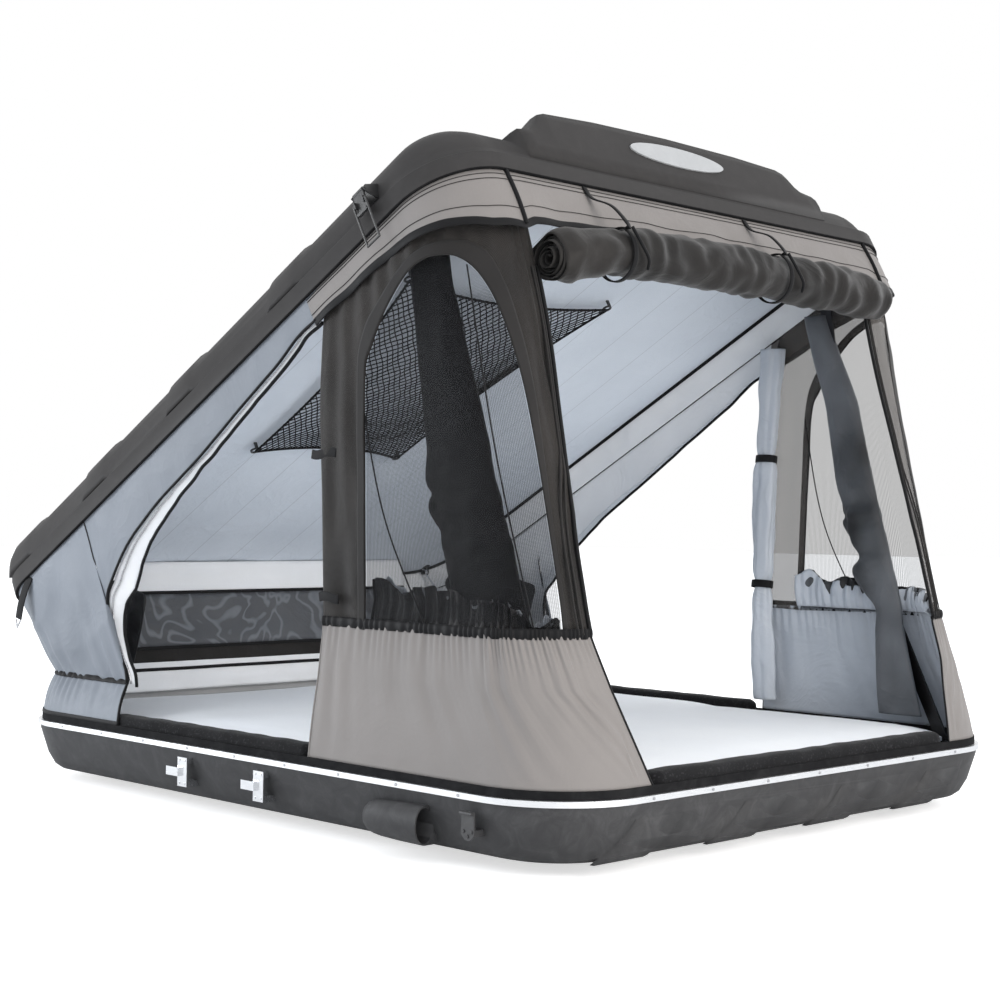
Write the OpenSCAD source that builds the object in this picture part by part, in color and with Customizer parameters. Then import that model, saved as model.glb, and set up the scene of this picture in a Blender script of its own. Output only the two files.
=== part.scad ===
// Hard-shell roof top tent, shown open: a shallow base tub, a lid that rises at both ends
// and tilts, fabric walls, mattress, storage net and the gear that lifts and locks the lid.
// Frame: +X towards the tall end, +Y across, +Z up. The origin is the middle of the
// underside of the base, where the tent rests on the roof bars.

/* [Shell] */
// Length of base and lid, lip to lip
shell_len = 1980; // [1900:10:2100]
// Width of base and lid
shell_wid = 1600; // [1540:10:1700]
// Height of the moulded base tub
tub_h = 117; // [112:1:125]
// Corner radius of the base in plan
tub_corner = 212; // [190:1:240]
// Corner radius of the lid in plan
lid_corner = 164; // [150:1:200]
// Wall thickness of base and lid mouldings
wall = 6; // [4:0.5:8]
// Width of the flat lip under the lid
lip_w = 8; // [7:0.5:12]
// Height of the lid's dome above its lip
dome_h = 174; // [165:1:200]
// Height of the raised deck above the lip
deck_h = 217; // [205:1:235]
// Length of the raised deck
deck_len = 440; // [300:10:600]

/* [Opening] */
// Tilt of the open lid, in degrees
lid_tilt = 29; // [26:0.5:31]
// How far the open lid's low lip hangs past the base
lid_shift = 80; // [70:1:90]
// Height of the open lid's low lip
lid_low_z = 400; // [390:1:420]
// Gap between the closed lid's lip and the trim band
lid_gap = 2.5; // [2.5:0.5:6]

/* [Rim] */
// Height of the bright trim band
trim_h = 12; // [8:1:16]
// Width of the trim band
trim_w = 13; // [13:1:18]
// Height of the black fabric channel
channel_h = 17; // [12:1:20]
// Inset of the fabric channel from the shell's side
channel_in = 10; // [9.5:0.5:14]
// Width of the fabric channel
channel_w = 10; // [8:1:14]
// Distance between trim rivets
rivet_pitch = 180; // [120:10:260]

/* [Inside] */
// Thickness of the floor panel
floor_t = 20; // [15:1:24]
// Height of the floor panel's underside
floor_z = 64; // [58:1:68]
// Thickness of the mattress at its edge
mattress_t = 68; // [55:1:72]
// Crown of the mattress in the middle
mattress_crown = 12; // [4:1:14]
// Half width of the mattress between the struts
mattress_half = 728; // [700:1:732]
// Half width of the mattress beside the struts
mattress_neck = 684; // [660:1:688]
// Height of the liner board above the lid's lip
liner_h = 72; // [66:1:80]
// Thickness of the liner board
liner_t = 4; // [3:0.5:6]

/* [Mounting rails] */
// Distance of each rail from the middle
rail_y = 400; // [300:10:480]
// Length of the rails
rail_len = 1500; // [1200:10:1600]
// Width of a rail
rail_w = 44; // [40:1:50]
// Height of a rail
rail_h = 24; // [20:1:28]
// Width of the slot in a rail
slot_w = 17; // [14:0.5:20]
// Wall of a rail
rail_wall = 4; // [3:0.5:5]

/* [Struts and arms] */
// Distance of the arms' plane from the middle
arm_y = 719; // [715:1:720]
// Thickness of an arm
arm_t = 6; // [5:0.5:6]
// Width of an arm
arm_w = 32; // [26:1:36]
// Radius of the pivot pins
pin_r = 5; // [4:0.5:6]
// Running clearance in the pivots
pin_gap = 0.05; // [0.03:0.01:0.09]
// Length of the lower arm
arm_low_len = 640; // [638:0.5:644]
// Distance of the gas struts' plane from the middle
strut_y = 704; // [702:0.5:705]
// Radius of the gas strut's tube
tube_r = 10; // [8:0.5:11]
// Radius of the gas strut's rod
rod_r = 4; // [3:0.5:5]
// Length of the gas strut's tube
tube_len = 292; // [284:1:300]

/* [Latches and fittings] */
// Distance of the latches from the low end
latch_s = 1745; // [1700:5:1800]
// Width of a latch
latch_w = 34; // [28:1:44]
// Height of a latch's pivot above the lip
latch_h = 76; // [70:1:84]
// Radius of the latch wire
wire_r = 2.5; // [2:0.1:3.5]
// Height of a ladder bracket
bracket_h = 66; // [50:1:70]
// Width of a ladder bracket
bracket_w = 36; // [28:1:44]
// Place of the first ladder bracket along the base
bracket_x = -188; // [-300:1:-100]
// Distance between the ladder brackets
bracket_gap = 286; // [200:1:320]
// Length of the side scoop
scoop_len = 175; // [140:1:200]
// Height of the side scoop
scoop_h = 78; // [60:1:84]
// Half depth of the scoop's mouth
scoop_out = 26; // [20:1:34]
// Place of the scoop's mouth along the base
scoop_x = 625; // [590:1:660]

/* [Fabric] */
// Thickness of the tent fabric
cloth_t = 3; // [2:0.5:4]
// Height of the skirts above the base at the tall end
skirt_z = 432; // [380:1:460]
// Height of the elastic waist at the low end
waist_z = 246; // [220:1:280]
// Low edge of the side doors
door_x0 = -545; // [-600:5:-500]
// Tall edge of the side doors
door_x1 = 255; // [200:5:300]
// Depth of the valance under the lid
valance_h = 100; // [80:1:120]
// Radius of the rolled end door
roll_r = 60; // [45:1:66]
// Half length of the rolled end door
roll_half = 575; // [500:5:590]
// Radius of the rolled side doors
door_roll_r = 32; // [25:1:40]

/* [Hidden] */
$fn = 48;

half_len = shell_len / 2;
half_wid = shell_wid / 2;
arc_steps = 12;
trim_top = tub_h + trim_h;
channel_top = trim_top + channel_h;
closed_z = trim_top + lid_gap;
floor_top = floor_z + floor_t;
soft_gap = 0.3;

// The open lid's own frame: s along the lid from its low lip, h square to the lip
lid_x0 = -half_len - lid_shift;
lid_c = cos(lid_tilt);
lid_s = sin(lid_tilt);
function lid_pt(s, y, h) = [lid_x0 + s * lid_c - h * lid_s, y, lid_low_z + s * lid_s + h * lid_c];
function lid_at_x(x, h) = let (s = (x - lid_x0 + h * lid_s) / lid_c) lid_low_z + s * lid_s + h * lid_c;
function closed_pt(s, y, h) = [s - half_len, y, closed_z + h];
module on_lid() {
    translate([lid_x0, 0, lid_low_z]) rotate([0, -lid_tilt, 0]) children();
}

// Pivots, as X and Z in the open pose
arm_base = [850, floor_top + 28];
arm_lid_s = 1775;
arm_lid_h = -5;
arm_lid_xyz = lid_pt(arm_lid_s, 0, arm_lid_h);
arm_lid = [arm_lid_xyz[0], arm_lid_xyz[2]];
strut_base = [-610, floor_top + 21];
strut_lid_s = 60;
strut_lid_h = 58;
strut_lid_xyz = lid_pt(strut_lid_s, 0, strut_lid_h);
strut_lid = [strut_lid_xyz[0], strut_lid_xyz[2]];
// The folded arms lie in one line, so the upper one is shorter by the closed pivots' distance
arm_lid_closed = closed_pt(arm_lid_s, 0, arm_lid_h);
elbow_closed = [arm_base[0] - arm_low_len, arm_base[1]];
arm_up_len = norm([arm_lid_closed[0] - elbow_closed[0], arm_lid_closed[2] - elbow_closed[1]]);
arm_span = norm(arm_lid - arm_base);
arm_foot = (pow(arm_low_len, 2) - pow(arm_up_len, 2) + pow(arm_span, 2)) / (2 * arm_span);
arm_bow = sqrt(pow(arm_low_len, 2) - pow(arm_foot, 2));
arm_dir = (arm_lid - arm_base) / arm_span;
elbow = arm_base + arm_dir * arm_foot + [-arm_dir[1], arm_dir[0]] * arm_bow;
strut_len = norm(strut_lid - strut_base);

// Points of a rounded rectangle, counter-clockwise from the +X side
function corner_arc(cx, cy, r, a0) =
    [for (i = [0:arc_steps]) let (a = a0 + 90 * i / arc_steps) [cx + r * cos(a), cy + r * sin(a)]];
function rounded(l, w, r) = let (x = l / 2 - r, y = w / 2 - r)
    concat(corner_arc(x, y, r, 0), corner_arc(-x, y, r, 90), corner_arc(-x, -y, r, 180),
        corner_arc(x, -y, r, 270));
function ring_at(l, w, r, inset, z, cx = 0) =
    [for (p = rounded(l - 2 * inset, w - 2 * inset, max(r - inset, 25))) [p[0] + cx, p[1], z]];

// A closed solid through a list of rings with equal numbers of points, either way round
function total(list) = [for (p = list) 1] * list;
function turn_of(ring) = let (n = len(ring)) total([for (i = [0:n - 1]) cross(ring[i], ring[(i + 1) % n])]);
module loft(rings) {
    n = len(rings[0]);
    m = len(rings);
    middle = rings[floor(m / 2)];
    forward = turn_of([for (p = middle) p - middle[0]]) * (total(rings[m - 1]) - total(rings[0])) > 0;
    points = [for (ring = rings) for (i = [0:n - 1]) ring[forward ? i : n - 1 - i]];
    sides = [for (k = [0:m - 2]) for (i = [0:n - 1]) let (j = (i + 1) % n, a = k * n + i, b = k * n + j)
        each [[a, b + n, b], [a, a + n, b + n]]];
    low = [for (i = [0:n - 1]) i];
    high = [for (i = [n - 1:-1:0]) (m - 1) * n + i];
    polyhedron(points = points, faces = concat([low], sides, [high]), convexity = 8);
}

// An exact flat slab with rounded corners
module slab(l, w, r, h) {
    translate([-l / 2 + r, -w / 2, 0]) cube([l - 2 * r, w, h]);
    translate([-l / 2, -w / 2 + r, 0]) cube([l, w - 2 * r, h]);
    for (x = [-1, 1], y = [-1, 1]) translate([x * (l / 2 - r), y * (w / 2 - r), 0]) cylinder(r = r, h = h, $fn = 96);
}

module frame_ring(inset, width, h, corner) {
    difference() {
        slab(shell_len - 2 * inset, shell_wid - 2 * inset, corner - inset, h);
        translate([0, 0, -1])
            slab(shell_len - 2 * (inset + width), shell_wid - 2 * (inset + width), corner - inset - width, h + 2);
    }
}

// A sheet of cloth between a lower and an upper line, with folds that fade at both lines
function flat_normal(line, i) = let (n = len(line), a = line[max(i - 1, 0)], b = line[min(i + 1, n - 1)],
    t = [b[0] - a[0], b[1] - a[1]]) [t[1], -t[0], 0] / max(norm(t), 0.001);
module curtain(lo, hi, rows, fold, count, bulge = 0) {
    n = len(lo);
    function out(i, j) = (fold * (1 + sin(360 * count * i / (n - 1))) + bulge) * sin(180 * j / rows)
        * min(1, norm(hi[i] - lo[i]) / 400);
    function place(i, j, off) = lo[i] + (hi[i] - lo[i]) * j / rows + flat_normal(lo, i) * (out(i, j) + off);
    front = [for (j = [0:rows]) for (i = [0:n - 1]) place(i, j, 0)];
    back = [for (j = [0:rows]) for (i = [0:n - 1]) place(i, j, -cloth_t)];
    k = len(front);
    quads = [for (j = [0:rows - 1]) for (i = [0:n - 2]) let (a = j * n + i) [a, a + 1, a + n + 1, a + n]];
    front_f = [for (q = quads) each [[q[0], q[2], q[1]], [q[0], q[3], q[2]]]];
    back_f = [for (q = quads) each [[q[0] + k, q[1] + k, q[2] + k], [q[0] + k, q[2] + k, q[3] + k]]];
    foot = [for (i = [0:n - 2]) each [[i, i + 1, i + 1 + k], [i, i + 1 + k, i + k]]];
    head = [for (i = [0:n - 2]) let (a = rows * n + i) each [[a, a + 1 + k, a + 1], [a, a + k, a + 1 + k]]];
    left = [for (j = [0:rows - 1]) let (a = j * n) each [[a, a + k, a + n], [a + n, a + k, a + n + k]]];
    right = [for (j = [0:rows - 1]) let (a = j * n + n - 1) each [[a, a + n, a + k], [a + n, a + n + k, a + k]]];
    polyhedron(points = concat(front, back), faces = concat(front_f, back_f, foot, head, left, right),
        convexity = 10);
}

// A tube through rings: each ring is [centre, first half axis, second half axis]
module swept(rings, sides = 12) {
    loft([for (r = rings) [for (i = [0:sides - 1]) let (a = 360 * i / sides) r[0] + r[1] * cos(a) + r[2] * sin(a)]]);
}

module both_sides() {
    children();
    mirror([0, 1, 0]) children();
}

// A bar along Y between two levels, at a place given as X and Z
module across(place, y0, y1, r) {
    translate([place[0], y0, place[1]]) rotate([-90, 0, 0]) cylinder(r = r, h = y1 - y0);
}

// Turns +Z to the line from one X and Z point to another
module along(a, b, y) {
    d = b - a;
    translate([a[0], y, a[1]]) rotate([0, atan2(d[0], d[1]), 0]) children();
}

module flat_bar(a, b, y0, t, width, bores) {
    length = norm(b - a);
    along(a, b, y0) difference() {
        union() {
            translate([-width / 2, 0, 0]) cube([width, t, length]);
            for (z = [0, length]) translate([0, 0, z]) rotate([-90, 0, 0]) cylinder(r = width / 2, h = t);
        }
        for (z = bores) translate([0, -1, z * length]) rotate([-90, 0, 0])
            cylinder(r = pin_r + pin_gap, h = t + 2);
    }
}

// Base

// Height and inset of the tub's outside, from the floor to the rim
tub_profile = [[0, 78], [5, 57], [15, 43], [42, 27], [tub_h - 12, 7], [tub_h, 5]];
housing_w = rail_w + 2 * wall + 2;
rib_pitch = 338;
rib_w = 142;
rib_lean = 70;
rib_out = 5;
// How far a rib reaches into the wall behind it, less than the wall's own slant
rib_root = 9;
module tub_rib(y) {
    // A raised pad on the tall end that runs down and under the tub
    function level(z, inset, lean, extra) = [for (q = [[-1, -rib_root], [-1, extra], [1, extra], [1, -rib_root]])
        [half_len - inset + q[1], y + q[0] * rib_w / 2 - lean, z]];
    loft([level(0, 57, rib_lean, 2), level(5, 50, rib_lean, rib_out), level(15, 43, rib_lean * 0.85, rib_out),
        level(42, 27, rib_lean * 0.45, rib_out), level(84, 15, 0, rib_out), level(93, 13, 0, -2)]);
}
module base_tub() {
    color([0.24, 0.26, 0.29]) difference() {
        union() {
            difference() {
                loft([for (p = tub_profile) ring_at(shell_len, shell_wid, tub_corner, p[1], p[0])]);
                loft([for (p = [[wall, 84], [wall + 5, 63], [21, 49], [46, 33.5], [tub_h - 12, 13], [tub_h + 1, 11]])
                    ring_at(shell_len, shell_wid, tub_corner, p[1] + wall - 6, p[0])]);
            }
            for (k = [-1.5, -0.5, 0.5, 1.5]) tub_rib(k * rib_pitch);
            for (y = [-1, 1]) translate([-rail_len / 2 - wall - 1, y * rail_y - housing_w / 2, wall / 2])
                cube([rail_len + 2 * wall + 2, housing_w, rail_h + wall / 2 + 1]);
        }
        for (y = [-1, 1]) translate([-rail_len / 2 - 1, y * rail_y - rail_w / 2 - 1, -1])
            cube([rail_len + 2, rail_w + 2, rail_h + 2]);
    }
}

module mount_rails() {
    color([0.72, 0.73, 0.75]) for (y = [-1, 1]) translate([0, y * rail_y, 0]) difference() {
        translate([-rail_len / 2, -rail_w / 2, 1]) cube([rail_len, rail_w, rail_h]);
        translate([-rail_len / 2 - 1, -rail_w / 2 + rail_wall, 1 + rail_wall])
            cube([rail_len + 2, rail_w - 2 * rail_wall, rail_h - 2 * rail_wall]);
        translate([-rail_len / 2 - 1, -slot_w / 2, 0]) cube([rail_len + 2, slot_w, rail_wall + 2]);
    }
}

bearer_w = 50;
bearer_half = 690;
housing_top = rail_h + wall + 1;
module floor_bearers() {
    color([0.8, 0.76, 0.66]) for (x = rail_len / 2 * [-1, -1 / 3, 1 / 3, 1])
        translate([x - bearer_w / 2, -bearer_half, housing_top])
            cube([bearer_w, 2 * bearer_half, floor_z - housing_top]);
}

panel_in = 36;
module floor_panel() {
    color([0.72, 0.7, 0.66]) translate([0, 0, floor_z])
        slab(shell_len - 2 * panel_in, shell_wid - 2 * panel_in, tub_corner - panel_in, floor_t);
}

// Mattress: full width between the struts, necked beside them, crowned and drawn in
mattress_x = 914;
mattress_stations = 18;
function neck(x) = x < -560 || x > 205 ? 0 : x < -480 ? (x + 560) / 80 : x > 125 ? (205 - x) / 80 : 1;
function mattress_line(inset) = let (n = mattress_stations, l = mattress_x - inset)
    [for (i = [0:n]) let (u = i / n * 2 - 1, x = l * u, round_in = 60 * pow(abs(u), 24))
        [x, mattress_neck + (mattress_half - mattress_neck) * neck(x) - inset - round_in]];
function mattress_ring(inset, z) = let (line = mattress_line(inset), n = len(line))
    concat([for (i = [n - 1:-1:0]) [line[i][0], line[i][1], z]], [for (i = [0:n - 1]) [line[i][0], -line[i][1], z]]);
module mattress() {
    z0 = floor_top + soft_gap;
    t = mattress_t;
    color([0.93, 0.94, 0.95]) loft([mattress_ring(10, z0), mattress_ring(2, z0 + t * 0.15),
        mattress_ring(6, z0 + t * 0.5), mattress_ring(0, z0 + t * 0.85), mattress_ring(12, z0 + t),
        mattress_ring(60, z0 + t + mattress_crown * 0.45), mattress_ring(70, z0 + t + mattress_crown * 0.3),
        mattress_ring(80, z0 + t + mattress_crown * 0.55), mattress_ring(shell_wid * 0.15, z0 + t + mattress_crown * 0.9),
        mattress_ring(shell_wid * 0.2625, z0 + t + mattress_crown)]);
}

module trim_band() {
    color([0.9, 0.91, 0.92]) translate([0, 0, tub_h]) frame_ring(0, trim_w, trim_h, tub_corner);
}

rivet_r = 3.2;
rivet_out = 1.2;
module trim_rivets() {
    straight_x = half_len - tub_corner;
    straight_y = half_wid - tub_corner;
    nx = floor(straight_x / rivet_pitch);
    ny = floor(straight_y / rivet_pitch);
    z = tub_h + trim_h / 2;
    color([0.6, 0.61, 0.63]) {
        for (i = [-nx:nx], side = [-1, 1]) translate([i * rivet_pitch, side * half_wid, z])
            rotate([-90 * side, 0, 0]) cylinder(r = rivet_r, h = rivet_out, $fn = 16);
        for (i = [-ny:ny], side = [-1, 1]) translate([side * half_len, i * rivet_pitch, z])
            rotate([0, 90 * side, 0]) cylinder(r = rivet_r, h = rivet_out, $fn = 16);
    }
}

module rim_channel() {
    color([0.07, 0.07, 0.08]) translate([0, 0, trim_top]) frame_ring(channel_in, channel_w, channel_h, tub_corner);
}

// Padded sills over the door thresholds, seated on the channel's inner edge
sill_h = 26;
sill_w = 54;
sill_in = channel_in + channel_w - 4;
sill_profile = [[0, channel_top + soft_gap], [0, channel_top + 10], [6, channel_top + 18],
    [20, channel_top + 22], [38, channel_top + 19], [sill_w, channel_top + 4], [sill_w, channel_top - 14],
    [8, channel_top - 14], [8, channel_top + soft_gap]];
module sill(length) {
    // The profile runs inwards from the rim
    rotate([90, 0, 90]) linear_extrude(length, center = true) polygon(sill_profile);
}
module side_sill(x0, x1) {
    color([0.06, 0.06, 0.07]) translate([(x0 + x1) / 2, -half_wid + sill_in, 0]) sill(x1 - x0);
}
module side_sill_left() side_sill(door_x0 + 5, door_x1 - 12);
module side_sill_right() mirror([0, 1, 0]) side_sill(door_x0 + 5, door_x1 - 12);
end_sill_half = 522;
module end_sill() {
    color([0.06, 0.06, 0.07]) translate([half_len - sill_in, 0, 0]) rotate([0, 0, 90]) sill(2 * end_sill_half);
}

// Side hardware stands off the drafted tub wall
function tub_wall_y(z) = half_wid - lookup(z, tub_profile);
module tub_side(length) {
    // The space that the near side of the tub takes, with a little clearance
    translate([-length / 2, 0, 0]) rotate([90, 0, 90]) linear_extrude(length)
        polygon(concat([for (p = tub_profile) [-half_wid + p[1] - soft_gap, p[0]]],
            [[-half_wid + 200, tub_h], [-half_wid + 200, 0]]));
}
module ladder_bracket() {
    t = 4;
    base_z = 36;
    mid_z = base_z + bracket_h / 2;
    face = half_wid + 3;
    color([0.82, 0.83, 0.84]) difference() {
        union() {
            translate([-bracket_w / 2, -face - t, base_z]) cube([bracket_w, t, bracket_h]);
            // Louvred tongue that a ladder hooks behind
            translate([-bracket_w / 2 - 34, -face - t - 8, mid_z - 10]) cube([34 + 12, t, 20]);
            translate([-bracket_w / 2 + 8, -face - t - 8, mid_z - 10]) cube([4, 9, 20]);
            // Two feet carry the plate off the wall
            for (z = [base_z, base_z + bracket_h - 14]) translate([-bracket_w / 2, -face, z])
                cube([bracket_w, face - tub_wall_y(base_z), 14]);
            for (x = [-10, 10], z = [base_z + 7, base_z + bracket_h - 7])
                translate([x, -face - t, z]) rotate([90, 0, 0]) cylinder(r = 2.6, h = 1.4, $fn = 16);
        }
        tub_side(2 * bracket_w);
    }
}
module ladder_brackets() {
    both_sides() for (k = [0, 1]) translate([bracket_x + k * bracket_gap, 0, 0]) ladder_bracket();
}

latch_x = latch_s - half_len;
strike_z = 44;
hook_z = 94;
hook_out = half_wid + 12;
hook_bar = 3;
hook_half = 16.5;
module latch_strikes() {
    face = half_wid + 3;
    color([0.2, 0.21, 0.23]) both_sides() translate([latch_x, 0, 0]) {
        translate([0, -face, strike_z]) rotate([90, 0, 0]) linear_extrude(4)
            polygon([[-hook_half, 53], [hook_half, 53], [18, 8], [6, -2], [-6, -2], [-18, 8]]);
        // The plate's foot on the tub, and the hook that the bail comes under
        difference() {
            translate([-hook_half, -face, strike_z + 6])
                cube([2 * hook_half, face - tub_wall_y(strike_z), 12]);
            tub_side(4 * hook_half);
        }
        translate([-hook_half, -hook_out, hook_z - hook_bar]) cube([2 * hook_half, hook_out - face, 2 * hook_bar]);
        translate([-hook_half, -hook_out, hook_z]) rotate([0, 90, 0]) cylinder(r = hook_bar, h = 2 * hook_half);
        for (p = [[-11, 15], [11, 15], [0, 6]]) translate([p[0], -face - 4, strike_z + p[1]])
            rotate([90, 0, 0]) cylinder(r = 3.4, h = 2, $fn = 20);
    }
}

// Side scoop: a rounded cowl on the wall with an oval mouth towards the tall end
scoop_z = 52;
scoop_wall = 3.5;
scoop_sides = 24;
// Place along the scoop and size there, both as shares
scoop_taper = [[-1, 0.3], [-0.975, 0.55], [-0.92, 0.74], [-0.84, 0.86], [-0.7, 0.93], [-0.4, 0.98], [0, 1]];
function scoop_edge(a, k, shrink) = [-half_wid + 1 - (scoop_out * k - shrink) * cos(a),
    scoop_z + (scoop_h / 2 * k - shrink) * sin(a)];
module side_scoop() {
    root = 34;
    color([0.26, 0.28, 0.31]) translate([scoop_x, 0, 0]) difference() {
        loft([for (t = scoop_taper) concat(
            [for (i = [0:scoop_sides / 2]) let (p = scoop_edge(-90 + 360 * i / scoop_sides, t[1], 0))
                [scoop_len * t[0], p[0], p[1]]],
            [for (e = [1, -1]) [scoop_len * t[0], -half_wid + root, scoop_z + e * scoop_h / 2 * t[1]]])]);
        translate([2, 0, 0]) loft([for (t = scoop_taper) [for (i = [0:scoop_sides - 1])
            let (p = scoop_edge(360 * i / scoop_sides, t[1], scoop_wall)) [(scoop_len - 8) * t[0], p[0], p[1]]]]);
        translate([-scoop_len / 2, 0, 0]) tub_side(scoop_len + 20);
    }
}
module side_scoop_left() side_scoop();
module side_scoop_right() mirror([0, 1, 0]) side_scoop();

// Planes of the lifting gear, from the middle outwards
lower_arm_y = arm_y + 1;
upper_arm_y = arm_y - 1 - arm_t;
ear_t = 4;
pin_head = 2.5;
module base_pivot_brackets() {
    color([0.5, 0.51, 0.53]) both_sides() {
        // Clevis for the lower arm
        for (y = [lower_arm_y - 0.5 - ear_t, lower_arm_y + arm_t + 0.5]) translate([0, y, 0]) difference() {
            union() {
                translate([arm_base[0] - 16, 0, floor_top]) cube([32, ear_t, arm_base[1] - floor_top]);
                translate([arm_base[0], 0, arm_base[1]]) rotate([-90, 0, 0]) cylinder(r = 16, h = ear_t);
            }
            translate([arm_base[0], -1, arm_base[1]]) rotate([-90, 0, 0]) cylinder(r = pin_r, h = ear_t + 2);
        }
        translate([arm_base[0] - 30, lower_arm_y - 0.5 - ear_t, floor_top]) cube([60, arm_t + 1 + 2 * ear_t, 5]);
        across(arm_base, lower_arm_y - 0.5 - ear_t - pin_head, lower_arm_y + arm_t + 0.5 + ear_t + pin_head, pin_r);
        // Stud for the gas strut
        strut_ear = strut_y + 10;
        translate([strut_base[0] - 14, strut_ear, floor_top]) cube([28, ear_t, strut_base[1] - floor_top]);
        translate([strut_base[0], strut_ear, strut_base[1]]) rotate([-90, 0, 0]) cylinder(r = 14, h = ear_t);
        translate([strut_base[0] - 24, strut_ear - 4, floor_top]) cube([48, ear_t + 8, 4]);
        across(strut_base, strut_y - 5, strut_ear, pin_r);
        across(strut_base, strut_y - 5 - pin_head, strut_y - 5, pin_r + 3);
    }
}

eye_t = 9;
eye_r = 11;
gland = 9;
bore_start = 17;
bore_r = tube_r - 1.5;
piston_t = 10;
module strut_tube() {
    color([0.1, 0.1, 0.11]) difference() {
        along(strut_base, strut_lid, strut_y) {
            rotate([-90, 0, 0]) translate([0, 0, -eye_t / 2]) cylinder(r = eye_r, h = eye_t);
            translate([0, 0, 13]) cylinder(r = tube_r, h = tube_len - 13);
        }
        across(strut_base, strut_y - eye_t, strut_y + eye_t, pin_r + pin_gap);
        along(strut_base, strut_lid, strut_y) {
            translate([0, 0, bore_start]) cylinder(r = bore_r, h = tube_len - bore_start - gland);
            translate([0, 0, tube_len - gland - 1]) cylinder(r = rod_r + pin_gap, h = gland + 2);
        }
    }
}
module strut_rod() {
    // The open rod's piston stops short of the gland
    piston_at = tube_len - gland - piston_t - 4;
    color([0.75, 0.76, 0.78]) difference() {
        along(strut_lid, strut_base, strut_y) {
            rotate([-90, 0, 0]) translate([0, 0, -eye_t / 2]) cylinder(r = eye_r, h = eye_t);
            translate([0, 0, 8]) cylinder(r = rod_r, h = strut_len - piston_at - 8);
            translate([0, 0, strut_len - piston_at - piston_t]) cylinder(r = bore_r - 0.1, h = piston_t);
        }
        across(strut_lid, strut_y - eye_t, strut_y + eye_t, pin_r + pin_gap);
    }
}
module strut_tube_left() mirror([0, 1, 0]) strut_tube();
module strut_tube_right() strut_tube();
module strut_rod_left() mirror([0, 1, 0]) strut_rod();
module strut_rod_right() strut_rod();

elbow_head = 11;
module lower_arm() {
    color([0.42, 0.43, 0.45]) {
        flat_bar(arm_base, elbow, lower_arm_y, arm_t, arm_w, [0]);
        across(elbow, lower_arm_y - 0.7, lower_arm_y + arm_t + 2.5, elbow_head);
    }
}
module upper_arm() {
    color([0.42, 0.43, 0.45]) {
        flat_bar(arm_lid, elbow, upper_arm_y, arm_t, arm_w, [0]);
        across(elbow, upper_arm_y - 2.5, upper_arm_y + arm_t + 0.7, elbow_head);
    }
}
module lower_arm_left() mirror([0, 1, 0]) lower_arm();
module lower_arm_right() lower_arm();
module upper_arm_left() mirror([0, 1, 0]) upper_arm();
module upper_arm_right() upper_arm();

// Lid

// Height and inset of the dome's outside, from the lip to the top
dome_profile = [[0, 0], [38, 0], [41, 3], [47, 12], [62, 16], [80, 21.5], [100, 30], [118, 42.5],
    [132, 58], [145, 74], [dome_h - 18, 92], [dome_h - 10, 112], [dome_h - 4, 140], [dome_h - 1, 190],
    [dome_h, 300]];
function lid_ring(inset, h) = ring_at(shell_len, shell_wid, lid_corner, inset, h, half_len);
lid_rib_h = 7;
lid_rib_ramp = 24;
lid_rib_half = 48;
lid_ribs = [160, 560, 970, 1410];
module lid_rib(s) {
    function edge(e) = [for (p = [for (q = dome_profile) if (q[0] > 45) q])
        [half_wid - p[1] + e * (1 - p[0] / dome_h), p[0] + e * p[0] / dome_h]];
    function section(x, e) = let (side = edge(e), n = len(side)) concat(
        [for (i = [0:n - 1]) [x, -side[i][0], side[i][1]]], [for (i = [n - 1:-1:0]) [x, side[i][0], side[i][1]]]);
    loft([section(s - lid_rib_half - lid_rib_ramp, -1), section(s - lid_rib_half, lid_rib_h),
        section(s + lid_rib_half, lid_rib_h), section(s + lid_rib_half + lid_rib_ramp, -1)]);
}
deck_half = 432;
deck_ramp = 90;
deck_crown = 14;
module lid_deck(skin) {
    // Stations across the lid: the height ramps up from the dome at both ends
    reach = deck_half + deck_ramp;
    stations = [-reach, -deck_half - deck_ramp * 0.55, -deck_half - deck_ramp * 0.25,
        -deck_half - deck_ramp * 0.05, -deck_half + 20, -250, 0, 250, deck_half - 20,
        deck_half + deck_ramp * 0.05, deck_half + deck_ramp * 0.25, deck_half + deck_ramp * 0.55, reach];
    lift = [0, 0.12, 0.42, 0.86, 0.97, 1, 1, 1, 0.97, 0.86, 0.42, 0.12, 0];
    foot = 140;
    start = shell_len - deck_len + 4 * skin;
    end = shell_len - skin;
    function top(i) = foot - skin * 1.2
        + (deck_h - deck_crown * pow(stations[i] / deck_half, 2) - foot) * lift[i];
    loft([for (i = [0:len(stations) - 1]) let (y = stations[i] * (reach - skin) / reach, h = top(i))
        [[start, y, 90], [start, y, min(h, dome_h - 6 - skin)],
            [shell_len - deck_len / 2, y, (h + dome_h - skin) / 2 - 4], [end - 40, y, h], [end - 20, y, h - 4],
            [end - 13, y, h * 0.9 - 6], [end - 11, y, 100], [end - 14, y, 60], [end - 30, y, 60]]]);
}
module lid_shell() {
    color([0.3, 0.29, 0.28]) on_lid() difference() {
        union() {
            loft([for (p = dome_profile) lid_ring(p[1], p[0])]);
            lid_deck(0);
            for (s = lid_ribs) lid_rib(s);
        }
        loft([lid_ring(lip_w, -1), lid_ring(lip_w, 38 - wall), lid_ring(lip_w + 4, 44 - wall),
            lid_ring(12 + wall + 2, 49), lid_ring(30 + wall, 98), lid_ring(58 + wall, 132 - wall),
            lid_ring(92 + wall, dome_h - 18 - wall), lid_ring(140 + wall, dome_h - 4 - wall),
            lid_ring(300, dome_h - wall)]);
        lid_deck(wall);
    }
}

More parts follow.
